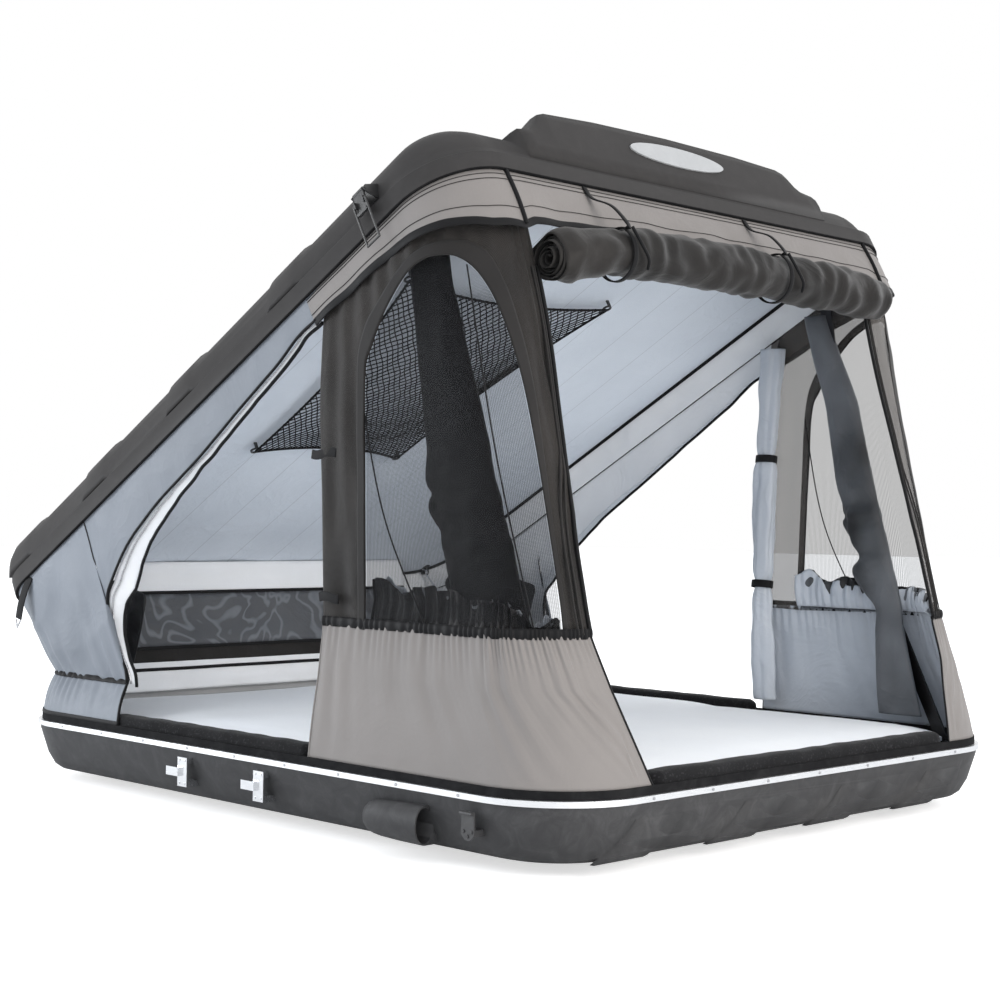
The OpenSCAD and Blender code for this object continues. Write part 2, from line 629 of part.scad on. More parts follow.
seal_h = 2;
module lid_seal() {
    color([0.05, 0.05, 0.05]) on_lid() translate([half_len, 0, -seal_h])
        frame_ring(1, lip_w - 2, seal_h, lid_corner);
}

liner_in = 31;
module lid_liner() {
    color([0.62, 0.65, 0.69]) on_lid() translate([half_len, 0, liner_h])
        slab(shell_len - 2 * liner_in, shell_wid - 2 * liner_in, lid_corner - liner_in, liner_t);
}

badge_half = 165;
badge_h = 150;
module badge_plate() {
    color([0.75, 0.74, 0.72]) on_lid() translate([shell_len - 11.4, 0, badge_h])
        rotate([0, 90, 0]) scale([0.17, 1, 1]) cylinder(r = badge_half, h = 3.5);
}

module lid_pivot_brackets() {
    color([0.5, 0.51, 0.53]) on_lid() both_sides() {
        // Stud for the upper arm, on the inner side of the arm
        ear_y = upper_arm_y - 0.5 - ear_t;
        translate([arm_lid_s - 14, ear_y, arm_lid_h]) cube([28, ear_t, liner_h - arm_lid_h]);
        translate([arm_lid_s, ear_y, arm_lid_h]) rotate([-90, 0, 0]) cylinder(r = 14, h = ear_t);
        translate([arm_lid_s - 24, ear_y - 8, liner_h - 4]) cube([48, 60, 4]);
        across([arm_lid_s, arm_lid_h], ear_y, arm_y - 0.2, pin_r);
        // Stud for the gas strut
        strut_ear = strut_y + 8;
        translate([strut_lid_s - 5, strut_ear, strut_lid_h]) cube([16, ear_t, liner_h - strut_lid_h]);
        translate([strut_lid_s, strut_ear, strut_lid_h]) rotate([-90, 0, 0]) cylinder(r = 10, h = ear_t);
        translate([strut_lid_s - 5, strut_ear - 12, liner_h - 2]) cube([30, ear_t + 12, 2]);
        across([strut_lid_s, strut_lid_h], strut_y - 5, strut_ear, pin_r);
        across([strut_lid_s, strut_lid_h], strut_y - 5 - pin_head, strut_y - 5, pin_r + 3);
    }
}

// Latch: a bracket on the dome's side, an over-centre lever and a wire bail
latch_out = half_wid + 14;
latch_pin_r = 3;
bail_h = latch_h - 24;
bail_out = latch_out + 8.5;
// The bail reaches under the strike's hook when the lid is shut
bail_len = closed_z + bail_h - (hook_z - hook_bar - wire_r - soft_gap);
module latch_bracket() {
    color([0.05, 0.05, 0.06]) on_lid() translate([latch_s, 0, 0]) difference() {
        union() {
            // Ears either side of the lever
            for (x = [-latch_w / 2 - 5, latch_w / 2 + 1]) translate([x, 0, 0]) rotate([90, 0, 90]) linear_extrude(4)
                polygon([[-half_wid + 16, latch_h - 24], [-half_wid + 28, latch_h + 16],
                    [-latch_out + 2, latch_h + 8], [-latch_out - 6, latch_h], [-latch_out + 2, latch_h - 10]]);
            translate([-latch_w / 2 - 5, -half_wid + 12, latch_h - 22]) cube([latch_w + 10, 8, 34]);
        }
        // Its back follows the dome's side
        rotate([90, 0, 90]) translate([0, 0, -latch_w]) linear_extrude(2 * latch_w)
            polygon([for (p = dome_profile) if (p[0] > 45 && p[0] < 140) [-half_wid + p[1] - soft_gap, p[0]],
                [-half_wid + 90, 131], [-half_wid + 90, 46]]);
        translate([-latch_w, -latch_out, latch_h]) rotate([0, 90, 0])
            cylinder(r = latch_pin_r + pin_gap, h = 2 * latch_w);
    }
}
module latch_lever() {
    color([0.06, 0.06, 0.07]) on_lid() translate([latch_s, 0, 0]) {
        difference() {
            union() {
                translate([-latch_w / 2 + 1, -latch_out - 5, latch_h - 46]) cube([latch_w - 2, 5, 46]);
                translate([-latch_w / 2 + 1, -latch_out, latch_h]) rotate([0, 90, 0])
                    cylinder(r = 6, h = latch_w - 2);
                translate([-latch_w / 2 + 1, -latch_out - 11, latch_h - 50]) cube([latch_w - 2, 8, 6]);
                for (x = [-latch_w / 2 + 1, latch_w / 2 - 5]) translate([x, -latch_out - 12, bail_h - 7])
                    cube([4, 8, 14]);
            }
            translate([-latch_w, -bail_out, bail_h]) rotate([0, 90, 0])
                cylinder(r = wire_r + pin_gap, h = 2 * latch_w);
        }
        translate([-latch_w / 2 - 6, -latch_out, latch_h]) rotate([0, 90, 0])
            cylinder(r = latch_pin_r, h = latch_w + 12);
    }
}
module latch_bail() {
    half = latch_w / 2 + 3;
    color([0.09, 0.09, 0.1]) on_lid() translate([latch_s, -bail_out, bail_h]) {
        for (side = [-1, 1]) {
            translate([side * half, 0, -bail_len]) cylinder(r = wire_r, h = bail_len);
            translate([side * half, 0, 0]) sphere(r = wire_r);
            translate([side > 0 ? latch_w / 2 - 6 : -half, 0, 0]) rotate([0, 90, 0]) cylinder(r = wire_r, h = 9);
            translate([side * half, 0, -bail_len]) sphere(r = wire_r);
        }
        translate([-half, 0, -bail_len]) rotate([0, 90, 0]) cylinder(r = wire_r, h = 2 * half);
    }
}
module latch_bracket_left() latch_bracket();
module latch_bracket_right() mirror([0, 1, 0]) latch_bracket();
module latch_lever_left() latch_lever();
module latch_lever_right() mirror([0, 1, 0]) latch_lever();
module latch_bail_left() latch_bail();
module latch_bail_right() mirror([0, 1, 0]) latch_bail();

// Storage net under the liner: a flat net in a bound edge, hooked up at its four corners
net_h = 50;
net_t = 3;
net_cells = 16;
net_corners = [[765, -436], [1521, -511], [1514, 155], [761, 40]];
function net_at(u, v) = let (a = net_corners[0], b = net_corners[1], c = net_corners[2], d = net_corners[3],
    sag = 26 * sin(180 * u) * (1 - 2 * v) + 0, pull = 26 * sin(180 * v) * (1 - 2 * u))
    a * (1 - u) * (1 - v) + b * u * (1 - v) + c * u * v + d * (1 - u) * v + [pull, sag];
strand = 0.11;
module storage_net() {
    n = net_cells;
    rim = [for (i = [0:11]) net_at(i / 12, 0), for (i = [0:11]) net_at(1, i / 12),
        for (i = [0:11]) net_at(1 - i / 12, 1), for (i = [0:11]) net_at(0, 1 - i / 12)];
    holes = [for (i = [0:n - 1]) for (j = [0:n - 1]) each [for (q = [[0, 0], [1, 0], [1, 1], [0, 1]])
        let (g = [strand + (1 - 2 * strand) * q[0], strand + (1 - 2 * strand) * q[1]])
        net_at(0.02 + 0.96 * (i + g[0]) / n, 0.02 + 0.96 * (j + g[1]) / n)]];
    paths = concat([[for (i = [0:47]) i]], [for (k = [0:n * n - 1]) [for (q = [0:3]) 48 + 4 * k + q]]);
    color([0.07, 0.07, 0.08]) on_lid() translate([0, 0, net_h]) linear_extrude(net_t)
        polygon(points = concat(rim, holes), paths = paths);
}
hook_r = 12;
module net_hooks() {
    color([0.08, 0.08, 0.09]) on_lid() for (p = net_corners) translate([p[0], p[1], 0]) {
        translate([0, 0, net_h + net_t]) difference() {
            cylinder(r = hook_r, h = 4);
            translate([0, 0, -1]) cylinder(r = hook_r - 4, h = 6);
        }
        translate([hook_r - 4, -4, net_h + net_t]) cube([4, 8, liner_h - net_h - net_t]);
    }
}

// Closing strap at the low end's near corner, with its triangular wire hook
strap_w = 26;
strap_t = 2.4;
strap_top = lid_pt(190, -half_wid + lip_w + soft_gap + strap_t / 2, -seal_h - 5.1);
strap_low = lid_pt(112, -half_wid - 5, -82);
module closing_strap() {
    d = (strap_low - strap_top) / norm(strap_low - strap_top);
    side = [d[2], 0, -d[0]] * strap_w / 2;
    thin = [0, 1, 0] * strap_t / 2;
    bend = strap_top * 0.75 + strap_low * 0.25 - [0, 8, 0];
    color([0.05, 0.05, 0.05]) swept([[strap_top, side, thin], [bend, side, thin], [strap_low, side, thin]], 8);
}
hook_wire = 2;
hook_side = 11;
hook_drop = 24;
module strap_hook() {
    lean = atan2(hook_side, hook_drop);
    color([0.12, 0.12, 0.13]) along([strap_top[0], strap_top[2]], [strap_low[0], strap_low[2]], strap_low[1])
        translate([0, 0, norm([strap_low[0] - strap_top[0], strap_low[2] - strap_top[2]]) + hook_wire + soft_gap]) {
            translate([-hook_side, 0, 0]) rotate([0, 90, 0]) cylinder(r = hook_wire, h = 2 * hook_side);
            for (end = [-1, 1]) {
                translate([end * hook_side, 0, 0]) sphere(r = hook_wire + 0.3);
                translate([end * hook_side, 0, 0]) rotate([0, -end * lean, 0])
                    cylinder(r = hook_wire, h = norm([hook_side, hook_drop]));
            }
            translate([0, 0, hook_drop]) sphere(r = hook_wire + 0.3);
        }
}

// Fabric lines in plan. They run clockwise seen from above, so that their front faces outwards
cloth_in = channel_in + 2;
function base_corner(end, side, inset, k) = let (r = tub_corner - inset, a = 90 * k)
    [end * (half_len - tub_corner + r * sin(a)), side * (half_wid - tub_corner + r * cos(a))];
function lid_corner_pt(end, side, inset, h, k) = let (r = lid_corner - inset, a = 90 * k,
    s = half_len + end * (half_len - lid_corner + r * sin(a)))
    lid_pt(s, side * (half_wid - lid_corner + r * cos(a)), h);
function span(a, b, n) = [for (i = [0:n]) a + (b - a) * i / n];
function at_z(p, z) = [p[0], p[1], z];
// A line of plan points from a door edge round a corner to a place on the end
function plan_line(end, inset, x_start, y_end, n, m) = concat(
    [for (x = span(x_start, end * (half_len - tub_corner), n)) [x, -half_wid + inset]],
    [for (k = [1:4]) base_corner(end, -1, inset, k / 4)],
    [for (i = [1:m]) [end * (half_len - inset), -half_wid + tub_corner + (y_end + half_wid - tub_corner) * i / m]]);
function lid_line(end, inset, h, s_start, y_end, n, m) = concat(
    [for (s = span(s_start, half_len + end * (half_len - lid_corner), n)) lid_pt(s, -half_wid + inset, h)],
    [for (k = [1:4]) lid_corner_pt(end, -1, inset, h, k / 4)],
    [for (i = [1:m]) lid_pt(half_len + end * (half_len - inset), -half_wid + lid_corner
        + (y_end + half_wid - lid_corner) * i / m, h)]);
function flip(line) = [for (i = [len(line) - 1:-1:0]) line[i]];
function mirrored(line) = [for (p = line) [p[0], -p[1], p[2]]];

door_flare = 28;
skirt_in = 40;
skirt_end_y = -530;
module skirt() {
    lo = [for (p = plan_line(1, cloth_in, door_x1 - 8, skirt_end_y, 14, 4)) at_z(p, channel_top + soft_gap)];
    hi = [for (p = plan_line(1, skirt_in, door_x1, -600, 14, 4)) [p[0] - max(p[0] - 560, 0) * 0.17, p[1], skirt_z]];
    color([0.55, 0.53, 0.51]) curtain(lo, hi, 6, 5, 7, 4);
}
module skirt_left() skirt();
module skirt_right() mirror([0, 1, 0]) skirt();

waist_in = 46;
module low_skirt() {
    quarter_lo = plan_line(-1, cloth_in, door_x0, 0, 5, 5);
    quarter_hi = plan_line(-1, waist_in, door_x0 - 20, 0, 5, 5);
    lo = concat([for (p = quarter_lo) at_z(p, channel_top + soft_gap)],
        [for (i = [len(quarter_lo) - 2:-1:0]) [quarter_lo[i][0], -quarter_lo[i][1], channel_top + soft_gap]]);
    hi = concat([for (p = quarter_hi) at_z(p, waist_z)],
        [for (i = [len(quarter_hi) - 2:-1:0]) [quarter_hi[i][0], -quarter_hi[i][1], waist_z]]);
    color([0.5, 0.52, 0.55]) curtain(flip(lo), flip(hi), 4, 4, 8);
}

// The side door's arched upper edge
function door_arc(x) = let (u = (x - door_x0) / (door_x1 - door_x0)) 590 + 480 * pow(u, 0.92);
wall_in = lip_w + soft_gap;
cloth_up = 2;
module side_wall() {
    post = door_x0 - 10;
    xs = concat(span(door_x1, door_x0, 12), [post], span(post - 25, -half_len + tub_corner + 20, 4));
    lo_straight = [for (x = xs) x > post
        ? [x, -half_wid + wall_in + 2, door_arc(x)] : [x, -half_wid + waist_in, waist_z + soft_gap]];
    hi_straight = [for (x = xs) let (s = (x - lid_x0) / lid_c) lid_pt(s, -half_wid + wall_in, cloth_up)];
    lo_corner = [for (k = [1:4]) at_z(base_corner(-1, -1, waist_in, k / 4), waist_z + soft_gap)];
    hi_corner = [for (k = [1:4]) lid_corner_pt(-1, -1, wall_in, cloth_up, k / 4)];
    color([0.52, 0.54, 0.57]) curtain(flip(concat(lo_straight, lo_corner)), flip(concat(hi_straight, hi_corner)), 5, 4, 5);
}
module side_wall_left() side_wall();
module side_wall_right() mirror([0, 1, 0]) side_wall();

module low_end_wall() {
    y_lo = half_wid - tub_corner - soft_gap;
    y_hi = half_wid - lid_corner - soft_gap;
    lo = [for (u = span(-1, 1, 14)) [-half_len + waist_in, u * y_lo, waist_z + soft_gap]];
    hi = [for (u = span(-1, 1, 14)) lid_pt(wall_in, u * y_hi, cloth_up)];
    color([0.7, 0.71, 0.72]) curtain(flip(lo), flip(hi), 4, 5, 4);
}

window_arch = [[398, 450], [396, 700], [394, 936], [414, 1007], [454, 1076], [514, 1135], [564, 1162],
    [617, 1170], [675, 1155], [732, 1120], [788, 1050], [835, 934], [862, 801], [880, 652], [884, 520], [880, 450]];
module corner_window() {
    lo = [for (p = plan_line(1, skirt_in, door_x1 + soft_gap, -600, 14, 4))
        [p[0] - max(p[0] - 560, 0) * 0.17, p[1], skirt_z + soft_gap]];
    s0 = (door_x1 + 8 - lid_x0) / lid_c;
    hi = lid_line(1, wall_in + cloth_t + soft_gap, cloth_up, s0, -600, 14, 4);
    color([0.27, 0.25, 0.23]) difference() {
        curtain(lo, hi, 7, 1.5, 7);
        rotate([90, 0, 0]) translate([0, 0, half_wid - 140]) linear_extrude(200) polygon(window_arch);
    }
}
module corner_window_left() corner_window();
module corner_window_right() mirror([0, 1, 0]) corner_window();

module valance() {
    s0 = (door_x1 + 8 - lid_x0) / lid_c;
    half_hi = lid_line(1, wall_in, 0.5, s0, 0, 6, 4);
    half_lo = lid_line(1, wall_in, -valance_h, s0 - 40, 0, 6, 4);
    lo = concat(half_lo, [for (i = [len(half_lo) - 2:-1:0]) [half_lo[i][0], -half_lo[i][1], half_lo[i][2]]]);
    hi = concat(half_hi, [for (i = [len(half_hi) - 2:-1:0]) [half_hi[i][0], -half_hi[i][1], half_hi[i][2]]]);
    color([0.58, 0.56, 0.54]) curtain(lo, hi, 3, 0.8, 9);
}

roll_x = 735;
roll_z = 1206;
module end_door_roll() {
    // A loose roll: its radius swells between the ties and its near end droops
    rings = [for (i = [0:16]) let (u = i / 8 - 1, r = roll_r * (0.93 + 0.07 * cos(u * 720)) * (abs(u) == 1 ? 0.82 : 1))
        [[roll_x + 3 * cos(u * 540), u * roll_half, roll_z + 8 - 30 * pow(u, 4) * (u < 0 ? 1.3 : 0.4)],
            [0, 0, r], [r, 0, 0]]];
    color([0.24, 0.22, 0.2]) swept(rings, 14);
}
strap_ys = [-385, 160];
tie_w = 13;
tie_t = 3;
// Middle of a tie's loop round the roll
tie_x = roll_x + 1.5;
tie_z = roll_z + 7.5;
function tie_ring(p, d) = [p, [d[2], 0, -d[0]] / norm([d[0], d[2]]) * tie_t / 2, [0, tie_w / 2, 0]];
module roll_straps() {
    // Elastic ties that hang from the lid's lip and go round the roll
    color([0.05, 0.05, 0.05]) for (y = strap_ys) {
        top = lid_pt(shell_len - 3, y, -seal_h - 0.5);
        knot = [tie_x, y + 12, tie_z + roll_r + 3.4];
        bend = top * 0.4 + knot * 0.6 + [16, -6, -4];
        swept([tie_ring(top, bend - top), tie_ring(bend, knot - top), tie_ring(knot, knot - bend)], 8);
        translate([tie_x, y + 12, tie_z]) rotate([90, 0, 0]) difference() {
            cylinder(r = roll_r + 4.2, h = tie_w, center = true);
            cylinder(r = roll_r + 2.5, h = tie_w + 2, center = true);
        }
    }
}

door_roll_x = 285;
// The roll's distance from the shell's side at each height, close inside the cloth
door_roll_run = [[160, 49.6], [300, 63.6], [skirt_z, 67.6], [1100, 43.1]];
module side_door_roll() {
    top = lid_at_x(door_roll_x, 0) - 30;
    rings = [for (i = [0:10]) let (v = i / 10, r = door_roll_r * (0.9 + 0.1 * cos(v * 900)))
        let (z = channel_top + 30 + (top - channel_top - 30) * v)
        [[door_roll_x - 6 * sin(180 * v), -half_wid + lookup(z, door_roll_run), z], [r, 0, 0], [0, r * 0.8, 0]]];
    color([0.24, 0.23, 0.22]) swept(rings, 12);
}
module side_door_roll_left() side_door_roll();
module side_door_roll_right() mirror([0, 1, 0]) side_door_roll();

// Sleeves over the lifting gear are hollow: cloth on the inner side of the arms
sleeve_y = 699;
module arm_sleeve() {
    // A pleated panel between the cabin and the arm, from the base pivot over the elbow to the lid
    path = [[arm_base[0] + 15.5, floor_top + mattress_t + 22], elbow * 0.25 + arm_base * 0.75 + [25, 30],
        elbow * 0.5 + arm_base * 0.5 + [20, 20], elbow * 0.8 + arm_base * 0.2 + [10, 10], elbow + [10, 10],
        elbow * 0.7 + arm_lid * 0.3 + [10, 0], elbow * 0.35 + arm_lid * 0.65 + [8, 0], arm_lid + [6, -30]];
    half = [66, 62, 54, 56, 52, 40, 34, 30];
    rings = [for (i = [0:7]) let (k = 1 + 0.1 * sin(140 * i))
        [[path[i][0], -sleeve_y + 3, path[i][1]], [half[i] * k, 0, 0], [0, 3.4 + 0.8 * cos(170 * i), 0]]];
    color([0.05, 0.05, 0.06]) swept(rings, 10);
}
module arm_sleeve_left() arm_sleeve();
module arm_sleeve_right() mirror([0, 1, 0]) arm_sleeve();

gusset_y = 688;
module strut_sleeve() {
    // A black gusset beside the gas strut, with a flange that is sewn to the wall
    front = [[-644, channel_top + 8], [-600, 238], [-562, 330], [-529, 452]];
    back = [[-640, 480], [-880, 500], [-960, 452], [-700, 240]];
    reach = half_wid - waist_in - cloth_t - soft_gap - gusset_y;
    color([0.05, 0.05, 0.06]) translate([0, -gusset_y + cloth_t, 0]) rotate([90, 0, 0]) {
        linear_extrude(cloth_t) polygon(concat(front, back));
        linear_extrude(cloth_t + reach) polygon(concat(front,
            [for (i = [3:-1:0]) front[i] - [cloth_t + 1, 0]]));
    }
}
module strut_sleeve_left() strut_sleeve();
module strut_sleeve_right() mirror([0, 1, 0]) strut_sleeve();

base_tub();
mount_rails();
floor_bearers();
floor_panel();
mattress();
trim_band();
trim_rivets();
rim_channel();
side_sill_left();
side_sill_right();
end_sill();
ladder_brackets();
latch_strikes();
side_scoop_left();
side_scoop_right();
base_pivot_brackets();
strut_tube_left();
strut_tube_right();
strut_rod_left();
strut_rod_right();
lower_arm_left();
lower_arm_right();
upper_arm_left();
upper_arm_right();
lid_shell();
lid_seal();
lid_liner();
badge_plate();
lid_pivot_brackets();
latch_bracket_left();
latch_bracket_right();
latch_lever_left();
latch_lever_right();
latch_bail_left();
latch_bail_right();
storage_net();
net_hooks();
closing_strap();
strap_hook();
low_skirt();
skirt_left();
skirt_right();
side_wall_left();
side_wall_right();
low_end_wall();
corner_window_left();
corner_window_right();
valance();
end_door_roll();
roll_straps();
side_door_roll_left();
side_door_roll_right();
arm_sleeve_left();
arm_sleeve_right();
strut_sleeve_left();
strut_sleeve_right();
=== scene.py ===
import math
import bpy
import numpy as np
from mathutils import Matrix, Vector, noise


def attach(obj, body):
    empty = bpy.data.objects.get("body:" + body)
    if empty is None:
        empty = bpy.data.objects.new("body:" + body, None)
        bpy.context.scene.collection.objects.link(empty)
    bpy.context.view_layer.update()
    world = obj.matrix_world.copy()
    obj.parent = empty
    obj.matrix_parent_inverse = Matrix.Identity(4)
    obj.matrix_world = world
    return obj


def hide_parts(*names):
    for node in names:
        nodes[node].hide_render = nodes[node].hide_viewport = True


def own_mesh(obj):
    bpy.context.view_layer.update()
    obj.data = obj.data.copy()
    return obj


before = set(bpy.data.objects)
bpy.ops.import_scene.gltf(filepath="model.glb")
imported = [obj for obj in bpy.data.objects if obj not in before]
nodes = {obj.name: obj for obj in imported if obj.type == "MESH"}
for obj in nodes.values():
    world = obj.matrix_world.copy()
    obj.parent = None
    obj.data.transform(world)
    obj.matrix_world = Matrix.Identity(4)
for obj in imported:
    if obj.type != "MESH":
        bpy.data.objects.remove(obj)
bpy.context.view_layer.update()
scene = bpy.context.scene
scene.view_settings.view_transform = "Standard"
print("frame loaded")

# Lengths are written in millimetres and become metres when a mesh is made
mm = 0.001
tilt = math.radians(29)
cosTilt, sinTilt = math.cos(tilt), math.sin(tilt)
lidUp = (-sinTilt, 0, cosTilt)
heart = np.array([-150.0, 0.0, 560.0])  # a place inside the tent, to tell outside from inside
halfLength, halfWidth, lidLength = 990, 800, 1980
lidCorner, tubCorner = 164, 212
lidBendX, lidBendY = lidLength - lidCorner, halfWidth - lidCorner  # where the round corners start
tubBendX, tubBendY = halfLength - tubCorner, halfWidth - tubCorner
lidFoot = (-1070, 400)  # place of the lid's low edge, along the tent and up
lipInset, rimInset = 8.3, 12  # from the sides of lid and tub to the cloth at their edges
skirtTop, waistTop, rimTop = 432, 246, 146.5


def lidSpot(s, y, h):
    # s runs up the lid from its low end, h stands out of it
    x = lidFoot[0] + s * cosTilt - h * sinTilt
    z = lidFoot[1] + s * sinTilt + h * cosTilt
    return np.array([x, y, z], float)


def lidAt(x):
    # how far up the lid a place over x is
    return (x - lidFoot[0]) / cosTilt


def evenSteps(points, count):
    steps = np.r_[0, np.cumsum(np.linalg.norm(np.diff(points, axis=0), axis=1))]
    at = np.linspace(0, steps[-1], count)
    return np.stack([np.interp(at, steps, points[:, k]) for k in range(points.shape[1])], 1)


def smoothLine(points, count):
    # even steps along a smooth curve through the points
    pts = np.array(points, float)
    ends = np.vstack([2 * pts[0] - pts[1], pts, 2 * pts[-1] - pts[-2]])
    fine = []
    t = np.linspace(0, 1, 24, endpoint=False)[:, None]
    for i in range(1, len(ends) - 2):
        a, b, c, d = ends[i - 1:i + 3]
        fine.append(0.5 * (2 * b + (c - a) * t + (2 * a - 5 * b + 4 * c - d) * t ** 2
            + (3 * b - a - 3 * c + d) * t ** 3))
    return evenSteps(np.vstack(fine + [ends[-2][None]]), count)


def pick(table, at):
    # a value read from a short table of pairs
    xs, ys = zip(*table)
    return np.interp(at, xs, ys)


def wander(points, size, seed=0.0):
    # slow smooth noise from -1 to 1; size is the length of one swell
    flat = points.reshape(-1, 3) / size
    shift = Vector((seed * 5.3, seed * 2.7, seed * 1.9))
    values = [noise.noise(Vector(p) + shift) for p in flat.tolist()]
    return np.array(values).reshape(points.shape[:-1])


def noiseLine(t, seed):
    values = [noise.noise(Vector((float(x), seed * 3.7, 0.5))) for x in np.ravel(t)]
    return np.array(values).reshape(np.shape(t))


def creased(points, size, seed=0.0, sharp=3.0):
    # narrow ridges, as in cloth that has been folded away
    return (1 - np.abs(wander(points, size, seed))) ** sharp


def normalsOf(grid):
    # away from the tent's heart
    n = np.cross(np.gradient(grid, axis=1), np.gradient(grid, axis=0))
    n /= np.maximum(np.linalg.norm(n, axis=2, keepdims=True), 1e-9)
    if np.sum(n * (grid - heart)) < 0:
        n = -n
    return n


def pushed(grid, amount):
    return grid + normalsOf(grid) * amount[:, :, None]


def between(low, high, rows):
    v = np.linspace(0, 1, rows)[:, None, None]
    return low[None] * (1 - v) + high[None] * v


def mirrored(points, side):
    # side -1 is the near side, as everything is drawn; +1 is its mirror image
    return points * np.array([1, -side, 1])


def sideName(side):
    return "left" if side < 0 else "right"


def bothSides(makePiece):
    for side in (-1, 1):
        makePiece(side)


def quarterTurn(p):
    # the angle round a corner that lies between 1 and 2
    return np.radians(90 * np.clip(p - 1, 0, 1))


def smoothAll(piece):
    piece.data.polygons.foreach_set("use_smooth", [True] * len(piece.data.polygons))


def applyAll(piece):
    bpy.ops.object.select_all(action="DESELECT")
    piece.select_set(True)
    bpy.context.view_layer.objects.active = piece
    for modifier in list(piece.modifiers):
        bpy.ops.object.modifier_apply(modifier=modifier.name)
    piece.select_set(False)


def meshPiece(name, points, faces, finish, uv=None):
    mesh = bpy.data.meshes.new(name)
    mesh.from_pydata((np.asarray(points, float).reshape(-1, 3) * mm).tolist(), [], faces)
    if uv is not None:
        layer = mesh.uv_layers.new(name="clothMap")
        index = np.zeros(len(mesh.loops), int)
        mesh.loops.foreach_get("vertex_index", index)
        layer.data.foreach_set("uv", np.asarray(uv, float).reshape(-1, 2)[index].ravel())
    mesh.materials.append(finishes[finish])
    piece = bpy.data.objects.new(name, mesh)
    scene.collection.objects.link(piece)
    smoothAll(piece)
    return piece


def clothPiece(name, grid, finish, lining=None, thick=1.2, aim=None):
    # A sheet from a grid of points. Its outer face looks away from the tent's heart, or along aim.
    rows, cols = grid.shape[:2]
    n = np.cross(grid[1:, :-1] - grid[:-1, :-1], grid[:-1, 1:] - grid[:-1, :-1])
    way = (grid[:-1, :-1] - heart) if aim is None else np.array(aim, float)
    if np.sum(n * way) > 0:
        grid = grid[:, ::-1]
    across = np.linalg.norm(np.diff(grid, axis=1), axis=2).mean(0)
    up = np.linalg.norm(np.diff(grid, axis=0), axis=2).mean(1)
    u, v = np.meshgrid(np.r_[0, np.cumsum(across)] * mm, np.r_[0, np.cumsum(up)] * mm)
    at = np.arange(rows * cols).reshape(rows, cols)
    quads = np.stack([at[:-1, :-1], at[:-1, 1:], at[1:, 1:], at[1:, :-1]], -1).reshape(-1, 4)
    piece = meshPiece(name, grid, quads.tolist(), finish, np.stack([u, v], -1))
    shell = piece.modifiers.new("thickness", "SOLIDIFY")
    shell.thickness = thick * mm
    shell.offset = -1
    if lining is not None:
        piece.data.materials.append(finishes[lining])
        shell.material_offset = 1
    applyAll(piece)
    smoothAll(piece)
    return piece


def tubePiece(name, lines, radius, finish, sides=8):
    # round cords along one or more lines of points, joined in one mesh
    points, faces, uvs = [], [], []
    for line in lines:
        line = np.asarray(line, float)
        n = len(line)
        radii = np.broadcast_to(np.asarray(radius, float), (n,))
        way = np.gradient(line, axis=0)
        way /= np.maximum(np.linalg.norm(way, axis=1, keepdims=True), 1e-9)
        guide = np.array([0.0, 0.0, 1.0]) if abs(way[0][2]) < 0.8 else np.array([1.0, 0.0, 0.0])
        start = len(points)
        length = 0.0
        for i in range(n):
            guide = guide - way[i] * np.dot(guide, way[i])
            guide /= np.linalg.norm(guide)
            other = np.cross(way[i], guide)
            length += np.linalg.norm(line[i] - line[i - 1]) if i else 0
            for k in range(sides):
                turn = 2 * math.pi * k / sides
                points.append(line[i] + (guide * math.cos(turn) + other * math.sin(turn)) * radii[i])
                uvs.append((k / sides * 0.02, length * mm))
        for i in range(n - 1):
            a, b = start + i * sides, start + (i + 1) * sides
            faces += [(a + k, a + (k + 1) % sides, b + (k + 1) % sides, b + k) for k in range(sides)]
        faces.append(tuple(start + k for k in reversed(range(sides))))
        faces.append(tuple(start + (n - 1) * sides + k for k in range(sides)))
    return meshPiece(name, points, faces, finish, uvs)


def strapPiece(name, lines, width, thick, finish, facing):
    # flat straps: width lies across the line, facing is the way the flat side looks at each point
    points, faces, uvs = [], [], []
    for line, face in zip(lines, facing):
        line = np.asarray(line, float)
        n = len(line)
        face = np.broadcast_to(np.asarray(face, float), (n, 3))
        way = np.gradient(line, axis=0)
        way /= np.maximum(np.linalg.norm(way, axis=1, keepdims=True), 1e-9)
        start = len(points)
        length = 0.0
        for i in range(n):
            up = face[i] - way[i] * np.dot(face[i], way[i])
            up /= np.linalg.norm(up)
            across = np.cross(way[i], up)
            length += np.linalg.norm(line[i] - line[i - 1]) if i else 0
            w, t = width / 2, thick / 2
            low = [(-w, -t * 0.5), (-w * 0.8, -t), (w * 0.8, -t), (w, -t * 0.5)]
            high = [(w, t * 0.5), (w * 0.8, t), (-w * 0.8, t), (-w, t * 0.5)]
            for a, b in low + high:
                points.append(line[i] + across * a + up * b)
                uvs.append(((a + w) * mm, length * mm))
        for i in range(n - 1):
            a, b = start + i * 8, start + (i + 1) * 8
            faces += [(a + k, b + k, b + (k + 1) % 8, a + (k + 1) % 8) for k in range(8)]
        faces.append(tuple(start + k for k in range(8)))
        faces.append(tuple(start + (n - 1) * 8 + k for k in reversed(range(8))))
    return meshPiece(name, points, faces, finish, uvs)


def rideLid(piece):
    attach(piece, "lid")
    return piece


def onLid(piece):
    rideLid(piece)
    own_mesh(piece)
    return piece


def onBase(piece):
    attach(piece, "base")
    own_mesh(piece)
    return piece


# camera, floor and light
view = {"azimuth": 45.43, "pitch": 0.66, "roll": 0.71, "place": (3.195, -3.1346, 0.650), "lens": 63.864}


